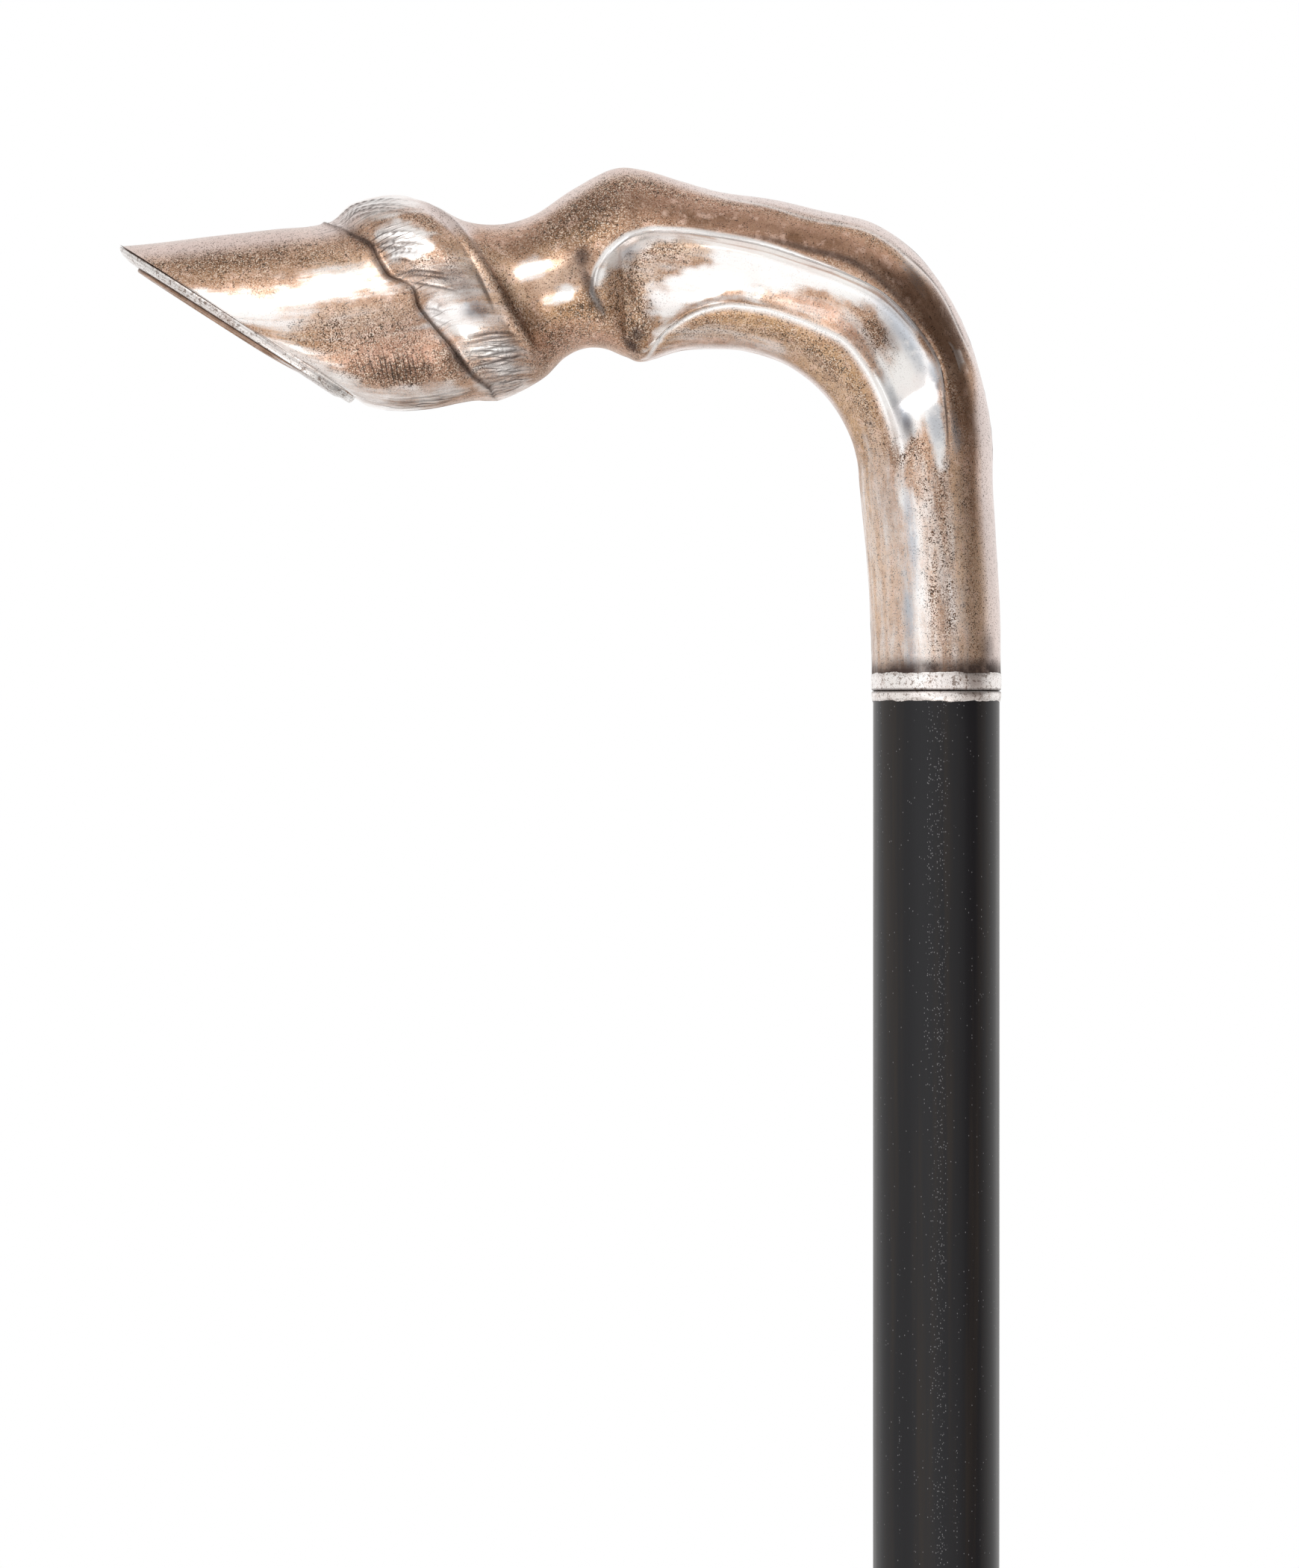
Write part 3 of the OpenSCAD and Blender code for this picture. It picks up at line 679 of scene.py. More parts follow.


# Patches of the skin, real stains and also painted shade and painted reflection: centre as place and angle,
# spreads, strength
patinaShadeAndSheen = {
    "pitted": [
        (1.7, 47, 2.4, 12, 0.8), (2.6, -34, 1.5, 11, 0.9), (2.4, -10, 1.5, 14, 0.7),
        (0.5, -30, 0.9, 25, 0.4), (4.0, -34, 0.5, 12, 1.0), (5.6, 16, 1.0, 11, 0.5), (6.1, 52, 0.9, 12, 0.6),
        (5.6, -46, 1.3, 16, 0.6), (7.6, -10, 0.6, 60, 0.55), (8.6, -48, 1.4, 20, 0.8),
        (10.5, -36, 1.3, 20, 0.9), (11.1, 40, 1.2, 24, 1.0), (12.8, 58, 2.0, 12, 0.9),
        (12.4, -22, 1.0, 32, 0.9), (12.4, -56, 0.7, 11, 0.7), (13.5, 8, 0.9, 8, 0.9),
        (16.0, 60, 2.6, 6, 0.5), (18.6, 57, 1.4, 8, 0.8), (19.8, -3, 0.8, 9, 0.7), (20.2, 16, 1.6, 8, 0.4),
        (14.5, -48, 3.5, 12, 0.4), (19.0, -42, 4.5, 10, 0.6), (22.6, -12, 1.2, 12, 0.7),
        (21.4, 34, 0.8, 6, 0.6), (23.1, -24, 0.7, 8, 0.8), (25.4, -4, 2.6, 9, 0.9), (25.4, 12, 2.8, 8, 0.8),
        (26.0, 34, 2.4, 8, 0.25), (24.6, 44, 1.4, 8, 0.5),
    ],
    "glossy": [
        (16.6, 38, 3.6, 14, 1.0), (20.2, 46, 2.4, 15, 1.0), (24.0, 46, 3.0, 8, 0.6), (9.6, 4, 1.2, 18, 0.7),
    ],
    # dark patches: tarnish, and painted shade such as under the ergot and along the ridges
    "dark": [
        (12.0, 34, 2.0, 20, 1.0), (14.6, 36, 2.0, 13, 1.0), (2.0, 29, 0.6, 7, 0.7), (22.0, 30, 1.0, 6, 0.8),
        (12.45, -56, 0.6, 11, 1.0), (7.8, -16, 0.6, 14, 0.8), (14.6, 43, 1.2, 7, 0.7),
        (13.6, 10, 0.8, 8, 0.4), (16.8, 33, 2.4, 13, 1.0), (19.4, 31, 2.2, 8, 1.0), (20.6, 58, 0.9, 9, 1.0),
        (1.3, -36, 0.5, 6, 0.7), (5.6, 5, 0.8, 9, 0.9), (12.9, -42, 0.35, 6, 0.9), (14.8, -52, 0.8, 7, 0.7),
        (17.0, -50, 0.6, 6, 0.7), (18.6, -50, 0.8, 6, 0.9), (11.3, 52, 0.8, 8, 0.8), (13.9, 50, 0.6, 7, 0.6),
        (2.5, -35, 1.3, 8, 0.5), (1.8, 40, 1.8, 11, 0.4), (6.3, 44, 0.5, 10, 0.5), (10.7, 10, 0.55, 18, 0.9),
        (5.8, 12, 0.6, 9, 0.8), (25.8, 8, 2.4, 6, 0.55), (27.3, 48, 0.5, 10, 0.9), (9.3, 36, 1.6, 10, 0.55),
        (10.7, -20, 0.5, 14, 0.6), (8.4, -52, 0.8, 12, 0.3), (22.8, 44, 1.2, 8, 0.5),
        (17.8, -50, 2.0, 7, 0.6), (3.2, -4, 0.8, 8, 0.6), (1.0, -38, 0.8, 7, 0.8), (22.9, -25, 0.5, 6, 0.7),
        (4.0, -30, 0.35, 10, 0.8),
    ],
    # soot, and painted shade in the groove, the creases, under the ergot and under the upper ridge
    "sootAndShade": [
        (12.4, -60, 0.5, 8, 1.0), (18.9, 27, 1.8, 5, 0.6), (20.5, 57, 0.8, 8, 0.6),
        (17.8, 26.5, 3.0, 3.5, 0.9), (10.85, 8, 0.3, 8, 0.9), (5.9, 4, 0.5, 7, 0.6),
        (5.9, -11, 0.5, 3.5, 0.6), (12.7, -47, 0.35, 7, 0.9), (21.6, 19, 0.5, 4, 0.35),
        (21.9, -16, 0.9, 4, 0.5), (27.4, 52, 0.3, 12, 0.5), (19.8, 3, 0.5, 6, 0.5), (4.2, -36, 0.3, 12, 0.5),
        (5.95, -9, 0.4, 4, 0.4), (4.3, 50, 0.22, 11, 0.5), (11.9, 34, 1.4, 16, 0.3),
        (10.7, 12, 0.45, 22, 0.35), (5.8, 10, 0.5, 8, 0.6), (22.25, -12, 0.4, 6, 0.8),
        (21.5, -17, 0.4, 3, 0.4), (13.2, -30, 0.25, 10, 0.3), (10.95, 14, 0.25, 12, 0.35),
    ],
    "tan": [
        (26.0, -52, 2.6, 20, 0.8), (27.0, 36, 1.4, 14, 0.9), (24.8, 32, 1.2, 8, 0.7),
        (26.4, 42, 1.6, 14, 0.7), (12.6, -15, 0.8, 25, 0.6), (22.3, -44, 0.6, 12, 0.8),
        (20.2, 44, 1.0, 6, 0.5), (21.35, 42, 0.18, 10, 1.0), (9.9, 2, 1.0, 12, 0.9), (8.2, 8, 0.9, 16, 0.5),
        (2.0, 2, 1.8, 9, 0.7), (13.9, 10, 1.2, 6, 0.5), (7.2, -6, 0.6, 40, 0.5), (19.8, -52, 2.6, 12, 0.6),
        (16.0, -52, 2.4, 10, 0.5), (25.8, 26, 2.2, 10, 0.9), (23.0, -44, 1.6, 10, 0.6),
        (8.9, 62, 1.0, 12, 0.4), (12.0, 62, 1.2, 8, 0.5),
    ],
    "golden": [
        (16.5, -50, 3.5, 14, 0.8), (13.3, -56, 0.8, 10, 0.8), (11.1, -28, 0.6, 16, 0.8),
        (26.6, 44, 1.8, 14, 1.0), (7.3, -48, 1.0, 14, 0.8), (1.5, 36, 1.6, 8, 0.3), (3.4, 34, 0.7, 12, 0.5),
        (1.5, -12, 1.2, 10, 0.6), (6.6, 12, 0.5, 22, 0.6), (10.2, -32, 1.4, 22, 1.0),
        (8.4, -40, 1.5, 14, 0.9), (11.0, 25, 1.3, 10, 1.0), (12.4, -22, 1.2, 30, 0.6),
        (13.8, 12, 0.9, 7, 0.8), (16.4, -38, 2.6, 9, 1.0), (19.6, -40, 2.6, 11, 1.0),
        (20.5, -62, 3.5, 18, 0.9), (18.5, 50, 1.2, 10, 0.7), (24.5, -66, 3.0, 14, 0.8),
        (25.5, 26, 2.6, 7, 0.8), (8.2, 8, 0.6, 40, 0.5),
    ],
    "rosy": [
        (8.6, -46, 2.4, 16, 1.0), (13.8, 48, 3.0, 14, 0.9), (18.2, 44, 2.0, 12, 0.8),
        (1.6, 66, 2.6, 10, 0.8), (2.9, -24, 1.7, 18, 0.9), (8.2, -44, 1.2, 16, 0.9), (8.6, 60, 1.6, 20, 0.9),
        (10.3, -62, 1.6, 14, 0.8), (16.0, 36, 3.5, 9, 0.8), (18.0, -14, 1.6, 7, 0.7),
        (13.5, 78, 2.5, 12, 0.7), (15.5, -66, 2.0, 10, 0.6),
    ],
    # blue-grey patches on the plate, standing in part for painted reflections
    "bluish": [
        (5.95, -9, 0.45, 6, 1.0), (21.5, 22, 0.7, 6, 0.9), (22.6, 28, 1.2, 7, 1.0), (1.0, 42, 1.5, 12, 0.5),
        (19.2, 52, 0.6, 8, 0.7), (22.0, -12, 0.6, 5, 1.0), (3.75, -8, 0.4, 10, 0.5), (20.0, 14, 1.2, 7, 0.9),
        (22.3, 12, 0.9, 9, 0.8), (21.4, -16, 1.4, 4, 0.6), (25.0, -18, 1.2, 6, 0.9),
        (26.8, -25, 1.4, 6, 0.9), (12.5, 6, 0.5, 7, 0.7),
    ],
    "haired": [
        (4.9, 38, 0.75, 12, 1.0), (4.7, 13, 0.5, 9, 0.9), (4.6, -8, 0.5, 8, 0.6), (5.9, -38, 1.2, 15, 1.0),
        (6.2, -62, 1.3, 16, 0.9), (4.9, 66, 1.2, 14, 0.7),
    ],
    "combed": [(2.7, -32, 0.85, 13, 1.0)],
    "grown": [(2.9, -66, 1.6, 12, 0.9), (0.5, -66, 0.8, 20, 0.5)],
}


# Outlines, as place and angle, of what is still bright silver, and of painted highlights laid on as bright
# silver: strength, softness in millimetres, marks
plateAndHighlightShapes = {
    "flute": (1.0, 1.2, [
        (13.5, -38), (13.25, -26), (13.2, -12), (13.9, -4), (14.8, 5), (14.8, 13), (14.0, 17), (13.3, 14),
        (12.6, 6), (12.2, -1), (11.7, -9), (11.2, -12), (11.1, -4), (11.6, 8), (12.2, 16), (13.0, 22),
        (14.2, 25), (15.5, 25), (17.0, 23), (18.0, 21), (19.0, 22), (20.0, 24), (21.0, 24), (21.7, 20),
        (22.5, 18), (23.3, 16), (23.6, 10), (23.1, 5), (22.4, 3), (22.4, -5), (22.9, -14), (23.0, -22),
        (22.0, -28), (21.0, -27), (20.5, -23), (20.2, -16), (20.1, -6), (19.7, 8), (18.7, 4), (17.6, -3),
        (16.6, -9), (15.8, -14), (15.0, -20), (14.3, -28),
    ]),
    "fluteFoot": (0.7, 0.9, [(13.8, -36), (14.4, -24), (15.1, -15), (15.9, -13), (16.1, -22), (15.2, -27)]),
    "fluteEnd": (0.3, 1.2, [(16.4, -8), (19, -2), (20.2, -6), (20.3, -24), (17, -26)]),
    "tongue": (0.28, 1.2, [
        (12.2, 2), (12.9, 13), (14.0, 17), (14.9, 14), (15.0, 4), (14.2, -6), (13.6, -14), (12.7, -8),
    ]),
    "bandFront": (0.9, 0.9, [
        (4.2, 0), (4.35, -10), (4.8, -20), (5.4, -24), (5.9, -18), (6.1, -12), (5.7, -5), (4.9, -3),
        (4.6, 4),
    ]),
    "bandTopHighlight": (0.85, 0.8, [(4.5, 50), (4.7, 30), (5.2, 24), (5.8, 26), (6.1, 36), (5.5, 48)]),
    "band": (0.46, 2.2, [
        (4.2, 24), (4.1, -20), (4.4, -50), (5.2, -100), (7.2, -100), (7.6, -60), (6.9, -20), (6.8, 24),
    ]),
    "bandCrown": (0.6, 1.5, [(4.4, 56), (4.6, 100), (6.4, 100), (6.4, 58), (5.4, 50)]),
    "heel": (0.75, 1.3, [(4.9, -27), (5.1, -42), (5.5, -58), (6.6, -58), (7.0, -32), (6.3, -24)]),
    "hoofHighlight": (0.85, 1.8, [
        (-0.5, -4), (-0.5, 25), (1.4, 20), (2.4, 22), (2.6, 31), (3.9, 35), (4.0, 16), (3.2, 13), (2.2, 9),
        (1.2, -4),
    ]),
    "hoofMiddle": (0.2, 1.6, [(-0.5, 10), (4.0, 14), (4.0, -16), (3.0, -22), (0.5, -24)]),
    "hoofLow": (0.7, 1.8, [(1.0, -44), (1.6, -62), (3.2, -66), (4.0, -58), (3.7, -48), (2.4, -47)]),
    "toe": (0.72, 1.6, [
        (-0.5, -4), (-0.5, -100), (3.2, -100), (3.0, -80), (2.2, -62), (1.7, -40), (1.3, -18),
    ]),
    # the neck's outline holds a painted highlight as well as bright silver
    "neck": (0.62, 1.3, [
        (23.6, -22), (24.2, 2), (25.5, 2), (26.5, -2), (28.4, -5), (28.4, -36), (26.5, -33), (24.5, -28),
    ]),
    "neckWide": (0.36, 2.5, [
        (20.8, -40), (22.0, -34), (23.6, 14), (23.8, 30), (28.5, 30), (28.5, -100), (24.5, -100),
        (22.4, -62),
    ]),
    "cannonLow": (0.34, 2.0, [
        (13.4, -46), (15.0, -46), (17.5, -52), (18.0, -70), (17.5, -100), (13.4, -100),
    ]),
    "ergotEdgeHighlight": (0.8, 0.4, [
        (13.35, -42), (13.05, -50), (13.0, -66), (13.4, -64), (13.7, -50), (13.8, -38),
    ]),
    "crack": (0.7, 0.4, [(20.9, 28), (21.05, 54), (21.35, 55), (21.7, 30)]),
    "bluePatch": (0.5, 1.2, [(20.8, 24), (21.7, 33), (22.8, 33), (23.6, 26), (23.4, 16)]),
    "rim": (0.5, 1.2, [(18.8, 46), (18.8, 60), (19.5, 60), (19.5, 49)]),
    "highLumpHighlight": (0.6, 0.8, [(8.6, 20), (8.8, 9), (9.4, 6), (9.8, 14), (9.3, 23)]),
    "lowLumpHighlight": (0.9, 0.8, [(9.3, -10), (9.5, -19), (10.2, -20), (10.6, -13), (10.1, -6)]),
}


# The strip along the back and the outside of the bend that hands keep light, lilac as a painted reflection of
# the pale surroundings along these edges: from which angle, how strongly
rubAndSheenStrip = {
    "places": [0, 3.5, 4.2, 6.4, 6.9, 7.6, 8.3, 11.0, 13.0, 14.5, 19.0, 21.5, 22.5, 28.0],
    "starts": [46, 50, 54, 50, 36, 40, 58, 54, 58, 58, 54, 62, 45, 43],
    "strengths": [0.7, 0.7, 1.0, 1.0, 1.0, 0.9, 0.4, 0.8, 0.6, 1.0, 1.0, 1.0, 1.0, 0.9],
    # the strip underneath, by angle and by place
    "under": ([-80, -70], [1, 0]), "underPlaces": ([12.8, 13.2, 20, 22], [0, 1, 1, 0]),
}


# How far a point is inside an outline, in millimetres, less than nothing outside it
def insideBy(outline, place, angle):
    scale = np.array([2.3, 0.19])            # millimetres along the leg per place, and across it per degree
    marks = np.array(outline) * scale
    spots = np.stack([place, angle], -1) * scale
    nearest = np.full(place.shape, 99.0)
    within = np.zeros(place.shape, bool)
    for start, end in zip(marks, np.roll(marks, -1, axis=0)):
        run = end - start
        share = ((spots - start) @ run / (run @ run)).clip(0, 1)
        nearest = np.minimum(nearest, np.linalg.norm(spots - start - share[..., None] * run, axis=-1))
        crosses = (start[1] > spots[..., 1]) != (end[1] > spots[..., 1])
        rise = np.where(crosses, (spots[..., 1] - start[1]) / (run[1] if abs(run[1]) > 1e-9 else 1e-9), 0)
        within ^= crosses & (spots[..., 0] < start[0] + rise * run[0])
    return np.where(within, nearest, -nearest)


def patches(name, place, angle):
    total = np.zeros(place.shape)
    for atPlace, atAngle, spreadPlace, spreadAngle, strength in patinaShadeAndSheen[name]:
        far = ((place - atPlace) / spreadPlace) ** 2 + ((angle - atAngle) / spreadAngle) ** 2
        total = np.maximum(total, strength * np.exp(-far ** 1.5))
    return total


smokeHeight = 2.3      # of the burnt flux over the collar

# How much each mark of the relief is darkened as painted shade in a recess, with some patina and the dark of
# the cuts, and how much it is lit as a painted highlight on a polished ridge
recessShares = {
    "groove": 0.8, "underLip": 0.25, "valley": 0.4, "cut": 0.9, "upperLine": 0.85, "pasternCrease": 0.8,
}
ridgeHighlightShares = {"upperRidge": 1.0, "lowerRidge": 0.9, "backCrease": 0.35}


# How the skin has aged, with painted light: dark in the recesses (painted shade, with some patina), light
# along the edges where a hand or the ground meets it (hand wear with a painted reflection), painted
# highlights on the ridges and in bright silver outlines
def makeAgeAndPaintedLight(place, angle, marks, points):
    recess = sum(share * marks[name] for name, share in recessShares.items()) + patches("sootAndShade", place, angle)
    ridge = sum(share * marks[name] for name, share in ridgeHighlightShares.items())
    above = points[..., 2] - shoulder - leg["mouth"]
    above = (above + waviness(points, 61, 9, 0.5)).clip(0)
    start = np.interp(place, rubAndSheenStrip["places"], rubAndSheenStrip["starts"])
    strength = np.interp(place, rubAndSheenStrip["places"], rubAndSheenStrip["strengths"])
    topStrip = np.interp(angle - start, [0, 12], [0, 1]) * strength
    underStrip = np.interp(angle, *rubAndSheenStrip["under"]) * np.interp(place, *rubAndSheenStrip["underPlaces"])
    plateAndHighlight = np.zeros(place.shape)
    ragged = waviness(points, 57, 5.0, 0.35) + waviness(points, 58, 1.8, 0.15)
    for most, soft, outline in plateAndHighlightShapes.values():
        share = np.interp(insideBy(outline, place, angle) + ragged, [-soft, soft], [0, 1])
        plateAndHighlight = np.maximum(plateAndHighlight, most * share * share * (3 - 2 * share))
    plateAndHighlight *= (1 - marks["overRidge"]) * (1 - marks["underRidge"])
    stains = ("glossy", "golden", "rosy", "dark", "tan", "bluish", "haired", "combed", "grown")
    age = {name: patches(name, place, angle) for name in stains}
    pitted = (0.32 + 0.68 * patches("pitted", place, angle)) * (1 - 0.8 * plateAndHighlight) * (1 - 0.85 * age["glossy"])
    age.update({
        "recess": recess, "rubAndEdgeSheen": np.maximum(topStrip, underStrip), "ridge": ridge,
        "smoke": np.exp(-(above / smokeHeight) ** 4), "pitted": pitted, "plateAndHighlight": plateAndHighlight,
    })
    return {name: values.clip(0, 1) for name, values in age.items()}


def makeHalf(name, mirrored, material):
    places = ringPlaces()
    angle = columnAngles(places, (skinGrid["under"], skinGrid["across"], skinGrid["top"]))
    place = np.repeat(places[:, None], angle.shape[1], axis=1)
    points = skinPoint(place, angle)
    normals = gridNormals(points)
    height, marks = makeRelief(place, angle, points, normals, 31 if mirrored else 11)
    outer = points + normals * height[..., None]
    outer[:, (0, -1), 1] = 0
    age = makeAgeAndPaintedLight(place, angle, marks, points)

    innerAngle = columnAngles(places, skinGrid["inside"], leg["sheet"])
    innerPlace = np.repeat(places[:, None], innerAngle.shape[1], axis=1)
    inner = skinPoint(innerPlace, innerAngle, leg["sheet"] + 0.25)
    inner[:, (0, -1), 1] = 0

    rows, wide = angle.shape
    narrow = innerAngle.shape[1]
    count = rows * wide
    faces = []
    for i in range(rows - 1):
        for j in range(wide - 1):
            p = i * wide + j
            faces.append((p, p + 1, p + wide + 1, p + wide))
        for j in range(narrow - 1):
            p = count + i * narrow + j
            faces.append((p, p + narrow, p + narrow + 1, p + 1))
        p = i * wide
        q = count + i * narrow
        faces.append((p, p + wide, q + narrow, q))
        faces.append((p + wide - 1, q + narrow - 1, q + 2 * narrow - 1, p + 2 * wide - 1))
    for i, turnRound in ((0, False), (rows - 1, True)):
        cap = [i * wide + j for j in range(wide)]
        cap += [count + i * narrow + j for j in reversed(range(narrow))]
        faces.append(tuple(cap if turnRound else cap[::-1]))
    allPoints = np.concatenate([outer.reshape(-1, 3), inner.reshape(-1, 3)]) * mm
    if mirrored:
        allPoints[:, 1] *= -1
        faces = [face[::-1] for face in faces]
    piece = newPiece(name, allPoints, faces, material)
    for key, value in age.items():
        setLayer(piece.data, key, np.concatenate([value.reshape(-1), np.zeros(rows * narrow)]))
    run = runAlong(points[:, wide // 2])
    girth = np.cumsum(np.linalg.norm(np.diff(points, axis=1, prepend=points[:, :1]), axis=2), axis=1)
    uv = np.stack([np.repeat(run[:, None], wide, 1), girth - girth[:, -1:] / 2], -1).reshape(-1, 2)
    uv = np.concatenate([uv, np.zeros((rows * narrow, 2))]) * mm
    layer = piece.data.uv_layers.new(name="skin")
    corners = np.empty(len(piece.data.loops), int)
    piece.data.loops.foreach_get("vertex_index", corners)
    layer.data.foreach_set("uv", uv[corners].reshape(-1).astype(np.float32))
    return piece


# silver
silver = {
    "bright": (0.93, 0.92, 0.91, 1), "misty": (0.92, 0.87, 0.855, 1), "copper": (0.59, 0.385, 0.275, 1),
    "umber": (0.37, 0.225, 0.15, 1), "golden": (0.62, 0.39, 0.20, 1), "rosy": (0.58, 0.33, 0.25, 1),
    "dark": (0.21, 0.115, 0.07, 1), "tan": (0.84, 0.63, 0.49, 1), "blush": (0.80, 0.57, 0.47, 1),
    "lilacSheen": (0.80, 0.71, 0.69, 1), "bluish": (0.40, 0.44, 0.50, 1), "pit": (0.15, 0.08, 0.045, 1),
    # tarnish is the colour of soot and cut lines, and of the painted shade in the recesses
    "deepPit": (0.03, 0.02, 0.015, 1), "tarnishAndShade": (0.065, 0.045, 0.04, 1), "polishedHighlight": (0.95, 0.95, 0.95, 1),
    "fleck": (0.88, 0.76, 0.64, 1),
    # grains: scale, detail, roughness
    "clouds": (110.0, 4, 0.6), "blotches": (330.0, 4, 0.65), "fine": (5600.0, 1.0, 0.5),
    "coarse": (1500.0, 3.0, 0.65), "flecks": (4300.0, 1.0, 0.5), "mottle": (640.0, 3.0, 0.6),
    # ramps: low and high of what is read, and what they become (0 and 1 where not given)
    "plateFray": (0.0, 0.3, 0.35, 1.0), "plateEdge": (0.06, 0.94), "pitCrowding": (0.3, 0.7, 0.55, 1.2),
    "copperToUmber": (0.36, 0.62), "fleckRamp": (0.53, 0.6), "pitRamp": (0.585, 0.65),
    "deepPitRamp": (0.45, 0.6), "mistRamp": (0.4, 0.6, 0.0, 0.8), "bluishRamp": (0.35, 0.55, 0.4, 0.9),
    "smokeRamp": (0.35, 0.6, 0.7, 1.0),
    # clouds of another tone over the copper: grain, ramp, colour
    "tones": [
        ("mottle", (0.5, 0.68, 0.0, 0.55), "umber"), ("mottle", (0.48, 0.32, 0.0, 0.5), "blush"),
        ("streaks", (0.52, 0.68, 0.0, 0.5), "umber"),
    ],
    # how rough the worn copper, the handled shine, the pits, and the tarnish with its painted shade are
    "wornRough": 0.14, "glossyRough": -0.11, "pittedRough": 0.26, "darkRough": 0.25,
    # how much of a mark shows: the polish and painted highlight on a ridge, the rub and painted sheen over
    # copper and over pits, the painted shade in recesses, and cuts
    "ridgeClean": 0.85, "ridgePolishAndHighlight": 0.7, "rubAndSheenTone": 0.85, "rubbedPits": 0.75, "pitTone": 0.85,
    "recessDark": 0.85, "cutDark": 0.9,
    # how strongly each stain colours the copper
    "stains": {"golden": 0.8, "rosy": 0.75, "dark": 1.0, "tan": 0.8},
    # lines cut in the skin: spacing, and how far they wander
    "streakAlong": 90.0, "streakAcross": 620.0, "hairSpacing": 0.8, "hairWander": 1.5,
    "combSlant": 0.45, "combSpacing": 0.75, "combWander": 0.5,
}


# Fine cut lines across one direction of the skin's own map
def cutLines(tree, across, along, spacing, wander):
    slow = combined(tree, times(tree, along, 160.0), times(tree, across, 330.0))
    shift = times(tree, minus(tree, noise(tree, slow, 1.0, 2.0), 0.5), wander * 2)
    phase = timesPlus(tree, across, 1 / (spacing * mm), shift)
    line = between(tree, maths(tree, "PINGPONG", phase, 0.5), 0.06, 0.19, 1.0, 0.0)
    fast = combined(tree, times(tree, along, 260.0), times(tree, across, 1500.0))
    return times(tree, line, between(tree, noise(tree, fast, 1.0, 2.0), 0.36, 0.5))


